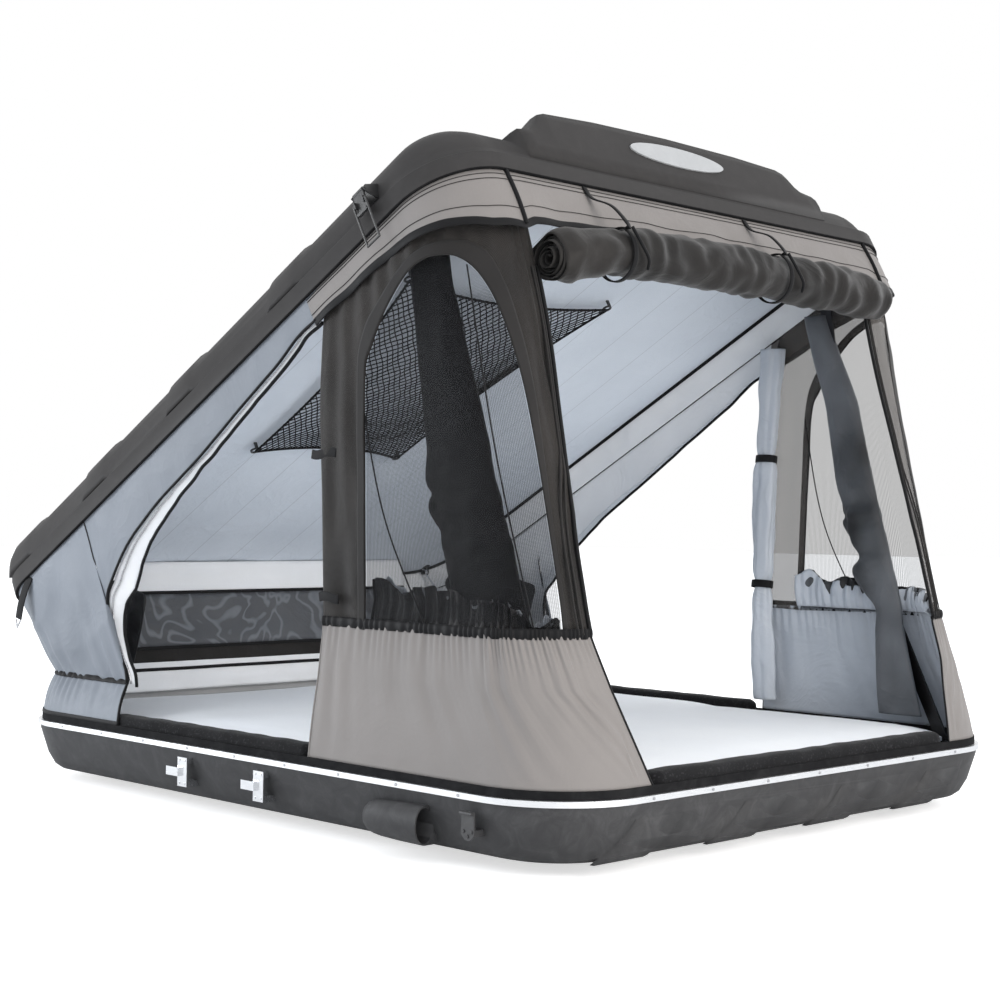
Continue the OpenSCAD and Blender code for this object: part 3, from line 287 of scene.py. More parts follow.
def makeCamera():
    az, pitch, roll = (math.radians(view[k]) for k in ("azimuth", "pitch", "roll"))
    ahead = Vector((-math.sin(az) * math.cos(pitch), math.cos(az) * math.cos(pitch), math.sin(pitch)))
    right = Vector((math.cos(az), math.sin(az), 0))
    up = right.cross(ahead)
    tiltedRight = right * math.cos(roll) + up * math.sin(roll)
    tiltedUp = up * math.cos(roll) - right * math.sin(roll)
    data = bpy.data.cameras.new("camera")
    data.lens = view["lens"]
    data.sensor_width = 36
    data.clip_end = 100
    camera = bpy.data.objects.new("camera", data)
    scene.collection.objects.link(camera)
    matrix = Matrix((tiltedRight, tiltedUp, -ahead)).transposed().to_4x4()
    matrix.translation = Vector(view["place"])
    camera.matrix_world = matrix
    scene.camera = camera


def mathNode(tree, operation, first, second=None, clamp=False):
    node = tree.nodes.new("ShaderNodeMath")
    node.operation = operation
    node.use_clamp = clamp
    for slot, value in enumerate((first, second)):
        if value is None:
            continue
        if isinstance(value, (int, float)):
            node.inputs[slot].default_value = value
        else:
            tree.links.new(value, node.inputs[slot])
    return node.outputs[0]


def backgroundNode(tree, colour, strength):
    node = tree.nodes.new("ShaderNodeBackground")
    node.inputs["Color"].default_value = (*colour, 1)
    node.inputs["Strength"].default_value = strength
    return node.outputs[0]


studio = {"floorDepth": -0.026, "floorGlow": 0.62, "worldColour": (0.93, 0.96, 1.0), "worldStrength": 1.0}
lamps = {
    "lampNear": {"place": (-1.2, -5.2, 2.6), "aim": (0, 0, 0.5), "size": 3.2, "power": 60,
        "colour": (0.93, 0.97, 1.0)},
    "lampLow": {"place": (-3.6, -3.4, 1.0), "aim": (-1.2, -0.6, 0.6), "size": 1.6, "power": 95,
        "colour": (0.92, 0.96, 1.0)},
    "lampEnd": {"place": (4.4, -0.6, 1.5), "aim": (0.2, 0, 0.3), "size": 2.4, "power": 110,
        "colour": (1.0, 0.96, 0.91)},
    "lampTop": {"place": (0.4, -0.8, 5.4), "aim": (0, 0, 0.4), "size": 3.6, "power": 22,
        "colour": (1.0, 1.0, 1.0)},
    "lampFar": {"place": (1.5, 4.8, 2.2), "aim": (0, 0, 0.6), "size": 2.6, "power": 40,
        "colour": (0.97, 0.98, 1.0)},
}


def makeStudio():
    world = bpy.data.worlds.new("studio")
    scene.world = world
    world.use_nodes = True
    tree = world.node_tree
    tree.nodes.clear()
    out = tree.nodes.new("ShaderNodeOutputWorld")
    path = tree.nodes.new("ShaderNodeLightPath").outputs
    clear = mathNode(tree, "MAXIMUM", path["Is Camera Ray"], path["Is Transmission Ray"])
    mix = tree.nodes.new("ShaderNodeMixShader")
    tree.links.new(mathNode(tree, "MAXIMUM", clear, path["Is Glossy Ray"]), mix.inputs[0])
    tree.links.new(backgroundNode(tree, studio["worldColour"], studio["worldStrength"]), mix.inputs[1])
    tree.links.new(backgroundNode(tree, (1, 1, 1), 1), mix.inputs[2])
    tree.links.new(mix.outputs[0], out.inputs["Surface"])
    for name, lamp in lamps.items():
        data = bpy.data.lights.new(name, "AREA")
        data.shape = "DISK"
        data.size = lamp["size"]
        data.energy = lamp["power"]
        data.color = lamp["colour"]
        light = bpy.data.objects.new(name, data)
        scene.collection.objects.link(light)
        light.location = lamp["place"]
        ahead = Vector(lamp["aim"]) - Vector(lamp["place"])
        light.rotation_euler = ahead.to_track_quat("-Z", "Y").to_euler()
    # a wide floor that stays white to the camera and keeps the shadow
    bpy.ops.object.select_all(action="DESELECT")
    bpy.ops.mesh.primitive_plane_add(size=60, location=(0, 0, studio["floorDepth"]))
    floor = bpy.context.active_object
    floor.name = "studioFloor"
    material = bpy.data.materials.new("floorPaper")
    material.use_nodes = True
    tree = material.node_tree
    surface = tree.nodes["Principled BSDF"]
    surface.inputs["Base Color"].default_value = (0.82, 0.82, 0.82, 1)
    surface.inputs["Roughness"].default_value = 0.9
    surface.inputs["Specular IOR Level"].default_value = 0.1
    surface.inputs["Emission Color"].default_value = (1, 1, 1, 1)
    path = tree.nodes.new("ShaderNodeLightPath").outputs
    glow = mathNode(tree, "MULTIPLY", path["Is Camera Ray"], studio["floorGlow"])
    tree.links.new(glow, surface.inputs["Emission Strength"])
    floor.data.materials.append(material)


makeCamera()
makeStudio()
print("camera, floor and lamps ready")


# finishes
def makeGroup(name, inputs, outputs):
    group = bpy.data.node_groups.new(name, "ShaderNodeTree")
    group.interface.new_socket(name="Vector", in_out="INPUT", socket_type="NodeSocketVector")
    for label, value in inputs:
        socket = group.interface.new_socket(name=label, in_out="INPUT", socket_type="NodeSocketFloat")
        socket.default_value = value
    for label in outputs:
        group.interface.new_socket(name=label, in_out="OUTPUT", socket_type="NodeSocketFloat")
    return group, group.nodes.new("NodeGroupInput"), group.nodes.new("NodeGroupOutput")


def noiseNode(tree, vector, scale, detail=3.0, rough=0.5, distort=0.0):
    node = tree.nodes.new("ShaderNodeTexNoise")
    node.inputs["Scale"].default_value = scale
    node.inputs["Detail"].default_value = detail
    node.inputs["Roughness"].default_value = rough
    node.inputs["Distortion"].default_value = distort
    tree.links.new(vector, node.inputs["Vector"])
    return node.outputs[0]


def weaveGroup():
    # threads that cross over and under; Threads is their number in a metre
    group, enter, leave = makeGroup("threadWeave", [("Threads", 700.0)], ["Height"])
    split = group.nodes.new("ShaderNodeSeparateXYZ")
    group.links.new(enter.outputs["Vector"], split.inputs[0])
    waves = []
    for axis in (0, 1, 2):
        turns = mathNode(group, "MULTIPLY", split.outputs[axis], enter.outputs["Threads"])
        waves.append(mathNode(group, "SINE", mathNode(group, "MULTIPLY", turns, 2 * math.pi)))
    crossing = mathNode(group, "MULTIPLY", waves[0], waves[1])
    deep = mathNode(group, "MULTIPLY", waves[1], waves[2])
    both = mathNode(group, "ADD", crossing, deep)
    half = mathNode(group, "MULTIPLY", both, 0.25)
    group.links.new(mathNode(group, "ADD", half, 0.5), leave.inputs["Height"])
    return group


def creaseGroup():
    # long soft creases with small crumples among them
    group, enter, leave = makeGroup("clothCreases", [], ["Height"])
    long = noiseNode(group, enter.outputs["Vector"], 7.0, 3.0, 0.55, 0.9)
    ridge = mathNode(group, "ABSOLUTE", mathNode(group, "SUBTRACT", long, 0.5))
    ridge = mathNode(group, "POWER",
        mathNode(group, "SUBTRACT", 1.0, mathNode(group, "MULTIPLY", ridge, 2.0)), 3.0)
    small = noiseNode(group, enter.outputs["Vector"], 38.0, 3.0, 0.6, 0.4)
    total = mathNode(group, "ADD", mathNode(group, "MULTIPLY", ridge, 0.6),
        mathNode(group, "MULTIPLY", small, 0.35))
    group.links.new(total, leave.inputs["Height"])
    return group


def driftGroup():
    # slow change of shade, and fine mottling
    group, enter, leave = makeGroup("shadeDrift", [], ["Value", "Mottle"])
    slow = noiseNode(group, enter.outputs["Vector"], 2.6, 3.0, 0.55)
    fine = noiseNode(group, enter.outputs["Vector"], 240.0, 2.0, 0.6)
    group.links.new(slow, leave.inputs["Value"])
    group.links.new(fine, leave.inputs["Mottle"])
    return group


def grainGroup():
    # moulded grain: small cells with a fine noise on them
    group, enter, leave = makeGroup("mouldGrain", [], ["Height", "Scuff"])
    cells = group.nodes.new("ShaderNodeTexVoronoi")
    cells.inputs["Scale"].default_value = 420.0
    group.links.new(enter.outputs["Vector"], cells.inputs["Vector"])
    fine = noiseNode(group, enter.outputs["Vector"], 900.0, 2.0, 0.6)
    coarse = mathNode(group, "MULTIPLY", cells.outputs["Distance"], 0.7)
    height = mathNode(group, "ADD", coarse, mathNode(group, "MULTIPLY", fine, 0.4))
    group.links.new(height, leave.inputs["Height"])
    scuff = noiseNode(group, enter.outputs["Vector"], 16.0, 6.0, 0.7, 1.2)
    group.links.new(mathNode(group, "POWER", scuff, 3.0), leave.inputs["Scuff"])
    return group


def holeGroup():
    # net holes: 0 in a hole, 1 on a thread
    group, enter, leave = makeGroup("netHoles", [("Holes", 500.0)], ["Thread"])
    split = group.nodes.new("ShaderNodeSeparateXYZ")
    group.links.new(enter.outputs["Vector"], split.inputs[0])
    waves = []
    for axis in (0, 1):
        turns = mathNode(group, "MULTIPLY", split.outputs[axis], enter.outputs["Holes"])
        waves.append(mathNode(group, "ABSOLUTE",
            mathNode(group, "SINE", mathNode(group, "MULTIPLY", turns, math.pi))))
    low = mathNode(group, "MINIMUM", waves[0], waves[1])
    group.links.new(mathNode(group, "SUBTRACT", 1.0, low, clamp=True), leave.inputs["Thread"])
    return group


weaveTree, creaseTree, driftTree = weaveGroup(), creaseGroup(), driftGroup()
grainTree, holeTree = grainGroup(), holeGroup()


def groupNode(tree, group, vector, **values):
    node = tree.nodes.new("ShaderNodeGroup")
    node.node_tree = group
    tree.links.new(vector, node.inputs["Vector"])
    for label, value in values.items():
        node.inputs[label].default_value = value
    return node


def mixColour(tree, factor, first, second):
    node = tree.nodes.new("ShaderNodeMix")
    node.data_type = "RGBA"
    for slot, value in ((6, first), (7, second)):
        if isinstance(value, tuple):
            node.inputs[slot].default_value = (*value, 1)
        else:
            tree.links.new(value, node.inputs[slot])
    tree.links.new(factor, node.inputs[0])
    return node.outputs[2]


def rangeNode(tree, value, low, high, fromLow=0.0, fromHigh=1.0):
    node = tree.nodes.new("ShaderNodeMapRange")
    tree.links.new(value, node.inputs["Value"])
    for label, number in (("From Min", fromLow), ("From Max", fromHigh), ("To Min", low), ("To Max", high)):
        node.inputs[label].default_value = number
    return node.outputs[0]


def bumpNode(tree, height, strength, distance, below=None):
    node = tree.nodes.new("ShaderNodeBump")
    node.inputs["Strength"].default_value = strength
    node.inputs["Distance"].default_value = distance
    tree.links.new(height, node.inputs["Height"])
    if below is not None:
        tree.links.new(below, node.inputs["Normal"])
    return node.outputs[0]


def startMaterial(name):
    material = bpy.data.materials.new(name)
    material.use_nodes = True
    tree = material.node_tree
    spot = tree.nodes.new("ShaderNodeTexCoord").outputs["Object"]
    return material, tree, tree.nodes["Principled BSDF"], spot


# a finish is its keys' values in a row, and then what only it has. Heights of weave, creases and grain
# are in mm, threads and holes are counted in a metre, and cover is how much of a net its threads fill
def readFinish(keys, row):
    finish = dict(zip(keys, row))
    finish.update(row[len(keys)] if len(row) > len(keys) else {})
    return finish


clothKeys = ("colour", "dark", "rough", "threads", "weave", "crease", "sheen")
clothFinishes = {
    "wallSilver": [(0.172, 0.192, 0.224), (0.148, 0.166, 0.194), (0.46, 0.6), 900, 0.12, 2.2, 0.08],
    "wallWhite": [(0.86, 0.87, 0.89), (0.78, 0.8, 0.83), (0.6, 0.75), 900, 0.1, 2.4, 0.03],
    "skirtTaupe": [(0.226, 0.209, 0.201), (0.19, 0.177, 0.17), (0.6, 0.72), 800, 0.15, 1.6, 0.08],
    "nylonBrown": [(0.026, 0.0235, 0.022), (0.012, 0.0115, 0.0115), (0.42, 0.55), 900, 0.1, 3.0, 0.12,
        {"shine": 0.1}],
    "rollBlack": [(0.012, 0.012, 0.013), (0.006, 0.006, 0.007), (0.4, 0.55), 900, 0.1, 3.0, 0.02,
        {"shine": 0.2}],
    "hemGrey": [(0.028, 0.0265, 0.026), (0.017, 0.016, 0.016), (0.6, 0.75), 600, 0.2, 1.4, 0.1,
        {"shine": 0.1}],
    "pipingBlack": [(0.012, 0.012, 0.013), (0.008, 0.008, 0.009), (0.45, 0.6), 500, 0.25, 0.5, 0.03,
        {"shine": 0.1}],
    "sleeveBlack": [(0.01, 0.01, 0.011), (0.005, 0.005, 0.006), (0.5, 0.7), 260, 0.5, 2.4, 0.06,
        {"fleck": (0.028, 0.028, 0.03), "shine": 0.1}],
    "gussetBlack": [(0.012, 0.012, 0.014), (0.007, 0.007, 0.008), (0.32, 0.46), 800, 0.15, 4.0, 0.05],
    "webbingBlack": [(0.012, 0.012, 0.013), (0.007, 0.007, 0.008), (0.55, 0.7), 330, 0.5, 0.4, 0.05,
        {"shine": 0.1}],
    "padBlack": [(0.014, 0.014, 0.015), (0.007, 0.007, 0.008), (0.8, 0.95), 240, 0.6, 1.4, 0.08,
        {"fleck": (0.026, 0.026, 0.028), "shine": 0.05}],
    "satinSilver": [(0.6, 0.64, 0.7), (0.44, 0.48, 0.54), (0.3, 0.44), 900, 0.08, 5.0, 0.1],
    "openNet": [(0.15, 0.14, 0.13), (0.11, 0.1, 0.095), (0.6, 0.75), 700, 0.2, 1.2, 0.02,
        {"shine": 0.1, "cover": (0.36, 0.6), "holes": 420}],
    "flapNet": [(0.022, 0.021, 0.022), (0.012, 0.012, 0.013), (0.45, 0.6), 900, 0.1, 3.5, 0.02,
        {"shine": 0.2, "cover": (0.88, 1.0), "holes": 420}],
    # black cloth with painted highlights: the slow drift lays pale slate patches over the black
    "slateShine": [(0.26, 0.277, 0.305), (0.012, 0.013, 0.015), (0.34, 0.48), 900, 0.08, 5.0, 0.05],
    "mattressWhite": [(0.93, 0.945, 0.96), (0.87, 0.89, 0.92), (0.7, 0.85), 320, 0.5, 1.6, 0.05],
    "columnMesh": [(0.034, 0.03, 0.0275), (0.015, 0.0142, 0.014), (0.5, 0.65), 700, 0.2, 2.0, 0.1,
        {"cover": (0.86, 1.0), "holes": 420, "shine": 0.1}],
    "windowNet": [(0.014, 0.0145, 0.016), (0.01, 0.0105, 0.012), (0.6, 0.7), 700, 0.1, 1.0, 0.03,
        {"cover": (0.14, 0.4), "holes": 420, "shine": 0.1}],
    "lowNet": [(0.1, 0.105, 0.115), (0.05, 0.053, 0.06), (0.3, 0.45), 700, 0.1, 6.0, 0.05,
        {"rings": (0.2, 0.215, 0.24)}],
    "linerBoard": [(0.76, 0.82, 0.9), (0.66, 0.72, 0.8), (0.45, 0.6), 700, 0.15, 4.0, 0.03,
        {"loose": True, "quilted": (0.36, 0.39, 0.43)}],
}


def clothMaterial(name, finish):
    material, tree, surface, spot = startMaterial(name)
    if finish.get("loose"):
        flat = spot
    else:
        uv = tree.nodes.new("ShaderNodeUVMap")
        uv.uv_map = "clothMap"
        flat = uv.outputs[0]
    drift = groupNode(tree, driftTree, spot)
    colour = mixColour(tree, rangeNode(tree, drift.outputs["Value"], 0, 1, 0.3, 0.7), finish["dark"],
        finish["colour"])
    weave = groupNode(tree, weaveTree, flat, Threads=finish["threads"])
    # painted shade: the colour darkens in the weave's hollows between the threads
    threadHollowShade = tuple(c * 0.72 for c in finish["dark"])
    colour = mixColour(tree, rangeNode(tree, weave.outputs["Height"], 0.0, 0.28, 0.75, 0.25), colour, threadHollowShade)
    if "fleck" in finish:
        dots = noiseNode(tree, spot, 210.0, 1.0, 0.5)
        colour = mixColour(tree, rangeNode(tree, dots, 0, 1, 0.60, 0.68), colour, finish["fleck"])
    if "rings" in finish:
        # pale wandering rings, as two nets one behind the other give
        slow = noiseNode(tree, spot, 5.5, 2.0, 0.5, 0.6)
        wave = mathNode(tree, "SINE", mathNode(tree, "MULTIPLY", slow, 62.0))
        colour = mixColour(tree, rangeNode(tree, wave, 0, 0.55, 0.25, 1.0), colour, finish["rings"])
    if "quilted" in finish:
        split = tree.nodes.new("ShaderNodeSeparateXYZ")
        tree.links.new(spot, split.inputs[0])
        pitch = mathNode(tree, "FRACT",
            mathNode(tree, "ADD", mathNode(tree, "MULTIPLY", split.outputs[1], 6.7), 0.2))
        seam = mathNode(tree, "ABSOLUTE", mathNode(tree, "SUBTRACT", pitch, 0.5))
        colour = mixColour(tree, rangeNode(tree, seam, 0.75, 0, 0.0, 0.012), colour, finish["quilted"])
    tree.links.new(colour, surface.inputs["Base Color"])
    tree.links.new(rangeNode(tree, drift.outputs["Mottle"], *finish["rough"]), surface.inputs["Roughness"])
    surface.inputs["Sheen Weight"].default_value = finish["sheen"]
    surface.inputs["Sheen Roughness"].default_value = 0.5
    surface.inputs["Specular IOR Level"].default_value = finish.get("shine", 0.35)
    creases = groupNode(tree, creaseTree, spot)
    broad = bumpNode(tree, creases.outputs["Height"], 0.7, finish["crease"] * mm)
    fine = bumpNode(tree, weave.outputs["Height"], 0.6, finish["weave"] * mm, broad)
    tree.links.new(fine, surface.inputs["Normal"])
    if "cover" in finish:
        holes = groupNode(tree, holeTree, flat, Holes=finish["holes"])
        tree.links.new(rangeNode(tree, holes.outputs["Thread"], *finish["cover"], 0.15, 0.75),
            surface.inputs["Alpha"])
    return material


hardKeys = ("colour", "scuff", "rough", "grain", "coat")
hardFinishes = {
    "lidPlastic": [(0.041, 0.0395, 0.0395), (0.048, 0.046, 0.046), (0.44, 0.56), 0.06, 0.0,
        {"shine": 0.05}],
    "tubPlastic": [(0.046, 0.046, 0.048), (0.07, 0.07, 0.072), (0.42, 0.56), 0.08, 0.0, {"shine": 0.1}],
    "darkPlastic": [(0.03, 0.03, 0.032), (0.05, 0.05, 0.052), (0.4, 0.55), 0.15, 0.1],
    "blackRubber": [(0.01, 0.01, 0.011), (0.02, 0.02, 0.021), (0.7, 0.85), 0.2, 0.0, {"shine": 0.05}],
    "badgeSilver": [(0.36, 0.37, 0.38), (0.4, 0.41, 0.42), (0.3, 0.42), 0.03, 0.3],
    "latchBlack": [(0.016, 0.016, 0.017), (0.05, 0.05, 0.05), (0.28, 0.42), 0.08, 0.35],
    "floorBoard": [(0.36, 0.31, 0.25), (0.42, 0.37, 0.3), (0.6, 0.8), 0.3, 0.0],
}
metalKeys = ("colour", "dull", "rough")
metalFinishes = {
    "trimAluminium": [(0.86, 0.87, 0.88), (0.74, 0.75, 0.77), (0.24, 0.4)],
    "railAluminium": [(0.62, 0.63, 0.65), (0.5, 0.51, 0.53), (0.32, 0.48)],
    "polishedBracket": [(0.83, 0.84, 0.86), (0.68, 0.69, 0.71), (0.12, 0.28)],
    "springSteel": [(0.6, 0.6, 0.62), (0.45, 0.45, 0.47), (0.2, 0.34)],
    "rodChrome": [(0.88, 0.88, 0.9), (0.8, 0.8, 0.82), (0.08, 0.16)],
    "armSteel": [(0.05, 0.05, 0.053), (0.035, 0.035, 0.037), (0.4, 0.55)],
    "rivetMetal": [(0.55, 0.55, 0.57), (0.4, 0.4, 0.42), (0.22, 0.36)],
}


def hardMaterial(name, finish):
    material, tree, surface, spot = startMaterial(name)
    grain = groupNode(tree, grainTree, spot)
    drift = groupNode(tree, driftTree, spot)
    worn = mathNode(tree, "MULTIPLY", grain.outputs["Scuff"], drift.outputs["Value"], clamp=True)
    colour = mixColour(tree, rangeNode(tree, worn, 0, 1, 0.02, 0.16), finish["colour"], finish["scuff"])
    tree.links.new(colour, surface.inputs["Base Color"])
    tree.links.new(rangeNode(tree, drift.outputs["Value"], *finish["rough"], 0.3, 0.7),
        surface.inputs["Roughness"])
    surface.inputs["Coat Weight"].default_value = finish["coat"]
    surface.inputs["Coat Roughness"].default_value = 0.3
    surface.inputs["Specular IOR Level"].default_value = finish.get("shine", 0.4)
    tree.links.new(bumpNode(tree, grain.outputs["Height"], 0.5, finish["grain"] * mm),
        surface.inputs["Normal"])
    return material


def metalMaterial(name, finish):
    material, tree, surface, spot = startMaterial(name)
    turn = tree.nodes.new("ShaderNodeMapping")
    turn.inputs["Scale"].default_value = (1.0, 1.0, 14.0)
    tree.links.new(spot, turn.inputs["Vector"])
    lines = noiseNode(tree, turn.outputs[0], 60.0, 5.0, 0.65)
    tree.links.new(mixColour(tree, lines, finish["dull"], finish["colour"]), surface.inputs["Base Color"])
    surface.inputs["Metallic"].default_value = 1.0
    tree.links.new(rangeNode(tree, lines, *finish["rough"], 0.3, 0.7), surface.inputs["Roughness"])
    tree.links.new(bumpNode(tree, lines, 0.25, 0.1 * mm), surface.inputs["Normal"])
    return material


finishes = {}
for makeMaterial, keys, rows in ((clothMaterial, clothKeys, clothFinishes),
        (hardMaterial, hardKeys, hardFinishes), (metalMaterial, metalKeys, metalFinishes)):
    for name, row in rows.items():
        finishes[name] = makeMaterial(name, readFinish(keys, row))

sides = ("_left", "_right")
nodeFinishes = {
    "tubPlastic": ["base_tub", "side_scoop_left", "side_scoop_right"],
    "lidPlastic": ["lid_shell"],
    "darkPlastic": ["latch_strikes", "floor_bearers", "net_hooks"],
    "blackRubber": ["rim_channel", "lid_seal"],
    "badgeSilver": ["badge_plate"],
    "latchBlack": [part + side for part in ("latch_bracket", "latch_lever", "latch_bail") for side in sides],
    "floorBoard": ["floor_panel"],
    "trimAluminium": ["trim_band"],
    "railAluminium": ["mount_rails"],
    "polishedBracket": ["ladder_brackets"],
    "springSteel": ["strap_hook"],
    "rodChrome": ["strut_rod_left", "strut_rod_right"],
    "armSteel": ["base_pivot_brackets", "lid_pivot_brackets"]
        + [part + side for part in ("strut_tube", "lower_arm", "upper_arm") for side in sides],
    "rivetMetal": ["trim_rivets"],
    "linerBoard": ["lid_liner"],
}


def dressNodes():
    for finish, names in nodeFinishes.items():
        for name in names:
            mesh = nodes[name].data
            mesh.materials.clear()
            mesh.materials.append(finishes[finish])
    for piece in nodes.values():
        if not piece.data.materials:
            piece.data.materials.append(finishes["darkPlastic"])


dressNodes()

# moulded shells: merged copies, shaded smooth up to the angle in degrees
mouldings = {
    "lid_shell": {"body": "lid", "slot": "lid_plastic", "finish": "lidPlastic", "angle": 32},
    "base_tub": {"body": "base", "slot": "tub_plastic", "finish": "tubPlastic", "angle": 30},
    "side_scoop_left": {"body": "base", "slot": "dark_plastic", "finish": "tubPlastic", "angle": 40},
    "side_scoop_right": {"body": "base", "slot": "dark_plastic", "finish": "tubPlastic", "angle": 40},
}


def mergedCopy(nodeName, name, gap):
    # an own mesh of the node, with the points that lie closer than the gap joined
    piece = bpy.data.objects.new(name, nodes[nodeName].data.copy())
    scene.collection.objects.link(piece)
    bpy.ops.object.select_all(action="DESELECT")
    piece.select_set(True)
    bpy.context.view_layer.objects.active = piece
    bpy.ops.object.mode_set(mode="EDIT")
    bpy.ops.mesh.select_all(action="SELECT")
    bpy.ops.mesh.remove_doubles(threshold=gap * mm)
    bpy.ops.object.mode_set(mode="OBJECT")
    return piece


def makeMoulding(name, look):
    piece = mergedCopy(name, name + "_moulding", 0.05)
    bpy.ops.object.shade_smooth_by_angle(angle=math.radians(look["angle"]))
    piece.select_set(False)
    piece.data.materials.clear()
    piece.data.materials.append(finishes[look["finish"]])
    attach(piece, look["body"])
    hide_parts(name)


for name, look in mouldings.items():
    makeMoulding(name, look)
print("finishes ready")


# the tall end's corners: one wall surface that skirt, window and column share
# p runs along the side (0 to 1), round the corner (1 to 2) and along the end (2 on);
# w runs from the skirt's top (0) to the lid's lip (1)
tallCorner = {"doorX": 255, "rimDoorX": 247, "lidDoorX": 263, "waistInset": 40, "endStep": 100}
tallCorner.update(lean=0.17, leanFrom=560)  # the end edge leans back from this place on


def pastCorner(p):
    # how far along the end p has gone
    return np.maximum(p - 2, 0) * tallCorner["endStep"]


def tubLine(p, inset, start, z):
    # along the tub's side from start, and round its corner
    p = np.asarray(p, float)
    bend, r = quarterTurn(p), tubCorner - inset
    x = np.where(p <= 1, start + (tubBendX - start) * p, tubBendX + r * np.sin(bend))
    y = np.where(p <= 1, float(inset - halfWidth), -tubBendY - r * np.cos(bend)) + pastCorner(p)
    return np.stack([x, y, np.full_like(x, float(z))], -1)


def cornerFoot(p):
    foot = tubLine(p, tallCorner["waistInset"], tallCorner["doorX"], skirtTop)
    foot[..., 0] -= tallCorner["lean"] * np.maximum(foot[..., 0] - tallCorner["leanFrom"], 0)
    return foot


def cornerHead(p, inset=11.6, h=2.0):
    p = np.asarray(p, float)
    start, r = lidAt(tallCorner["lidDoorX"]), lidCorner - inset
    bend = quarterTurn(p)
    s = np.where(p <= 1, start + (lidBendX - start) * p, lidBendX + r * np.sin(bend))
    y = np.where(p <= 1, -halfWidth + inset, -lidBendY - r * np.cos(bend)) + pastCorner(p)
    spot = lidSpot(s, y, np.broadcast_to(np.asarray(h, float), s.shape))
    return np.moveaxis(spot, 0, -1)


def cornerWall(p, w):
    w = np.asarray(w, float)[..., None]
    return cornerFoot(p) * (1 - w) + cornerHead(p) * w


tallSkirt = {"columns": 240, "rows": 46, "gathers": 46,
    "endEdge": [(0, 2.57), (0.27, 2.32), (0.636, 2.0), (1, 1.927)]}


def makeTallSkirt(side):
    v = np.linspace(0, 1, tallSkirt["rows"])[:, None]
    u = np.linspace(0, 1, tallSkirt["columns"])[None]
    p = pick(tallSkirt["endEdge"], v) * u
    rim = tubLine(p, rimInset, tallCorner["rimDoorX"], rimTop)
    flat = rim * (1 - v[..., None]) + cornerFoot(p) * v[..., None]
    flat[..., 2] = rimTop + (skirtTop - rimTop) * v
    wide = pick([(0, 0.0), (0.08, 0.35), (0.6, 1.0), (0.92, 0.75), (1, 0.25)], v)
    turn = 2 * math.pi * u * 15 + 1.6 * np.sin(u * 17 + side) + 1.2 * v * np.sin(u * 9)
    folds = np.sin(turn) * (1.6 + 1.2 * np.sin(u * 23 + 1))
    gathers = np.sin(2 * math.pi * u * tallSkirt["gathers"] + 2.2 * np.sin(u * 31))
    fine = gathers * pick([(0, 0), (0.7, 0.1), (0.93, 1.0), (1, 1.0)], v) * 1.9
    ripple = wander(flat * np.array([1, 1, 0.25]), 60, 3 + side) * 5
    grid = pushed(flat, (folds * 1.2 + ripple) * wide + fine + 3 * np.sin(np.pi * v) * np.ones_like(u))
    # the foot stays in its channel
    hold = np.clip(v * 12, 0, 1)[..., None]
    grid = flat * (1 - hold) + grid * hold
    grid[..., 2] = rimTop + (skirtTop - rimTop) * v
    grid = mirrored(grid, side)
    name = "skirt_" + sideName(side)
    piece = onBase(clothPiece(name + "_cloth", grid, "skirtTaupe", "satinSilver"))
    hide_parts(name)
    # hems: black edging down the end edge and a folded hem along the side-door edge
    hem = onBase(tubePiece(name + "_edging", [grid[:, -1]], 2.6, "pipingBlack", 6))
    fold = onBase(tubePiece(name + "_fold", [grid[:, 0]], 2.2, "skirtTaupe", 6))
    # the gathered elastic over the skirt's top
    p = np.linspace(0.0, 1.93, 420)
    v = np.linspace(0, 1, 7)[:, None]
    foot = cornerFoot(p)
    band = np.repeat(foot[None], 7, 0)
    band[..., 2] = 423 + 21 * v + 0 * p
    puff = np.sin(np.pi * v) * 2.2 + np.sin(p * 150 + 3 * np.sin(p * 21)) * 1.5 + 2.4
    band = mirrored(pushed(band, puff), side)
    elastic = onBase(clothPiece(name + "_elastic", band, "pipingBlack", thick=1.6))


bothSides(makeTallSkirt)
print("tall skirts made")

# arch: the window's edge in (p, w), each with the place that it meets on the panel's outer edge
windowArch = [
    ((0.26, -0.015), (0.0, -0.01)), ((0.325, 0.341), (0.0, 0.36)), ((0.413, 0.656), (0.0, 0.72)),
    ((0.51, 0.734), (0.12, 1.0)), ((0.678, 0.798), (0.45, 1.0)), ((0.92, 0.843), (0.85, 1.0)),
    ((1.121, 0.849), (1.15, 1.0)), ((1.297, 0.839), (1.5, 1.0)), ((1.46, 0.817), (2.0, 1.0)),
    ((1.597, 0.771), (2.35, 1.0)), ((1.705, 0.69), (2.45, 0.86)), ((1.776, 0.559), (2.42, 0.66)),
    ((1.781, 0.409), (2.2, 0.45)), ((1.755, 0.24), (2.0, 0.25)), ((1.722, 0.074), (1.94, 0.08)),
    ((1.699, 0.011), (1.927, 0.0)),
]


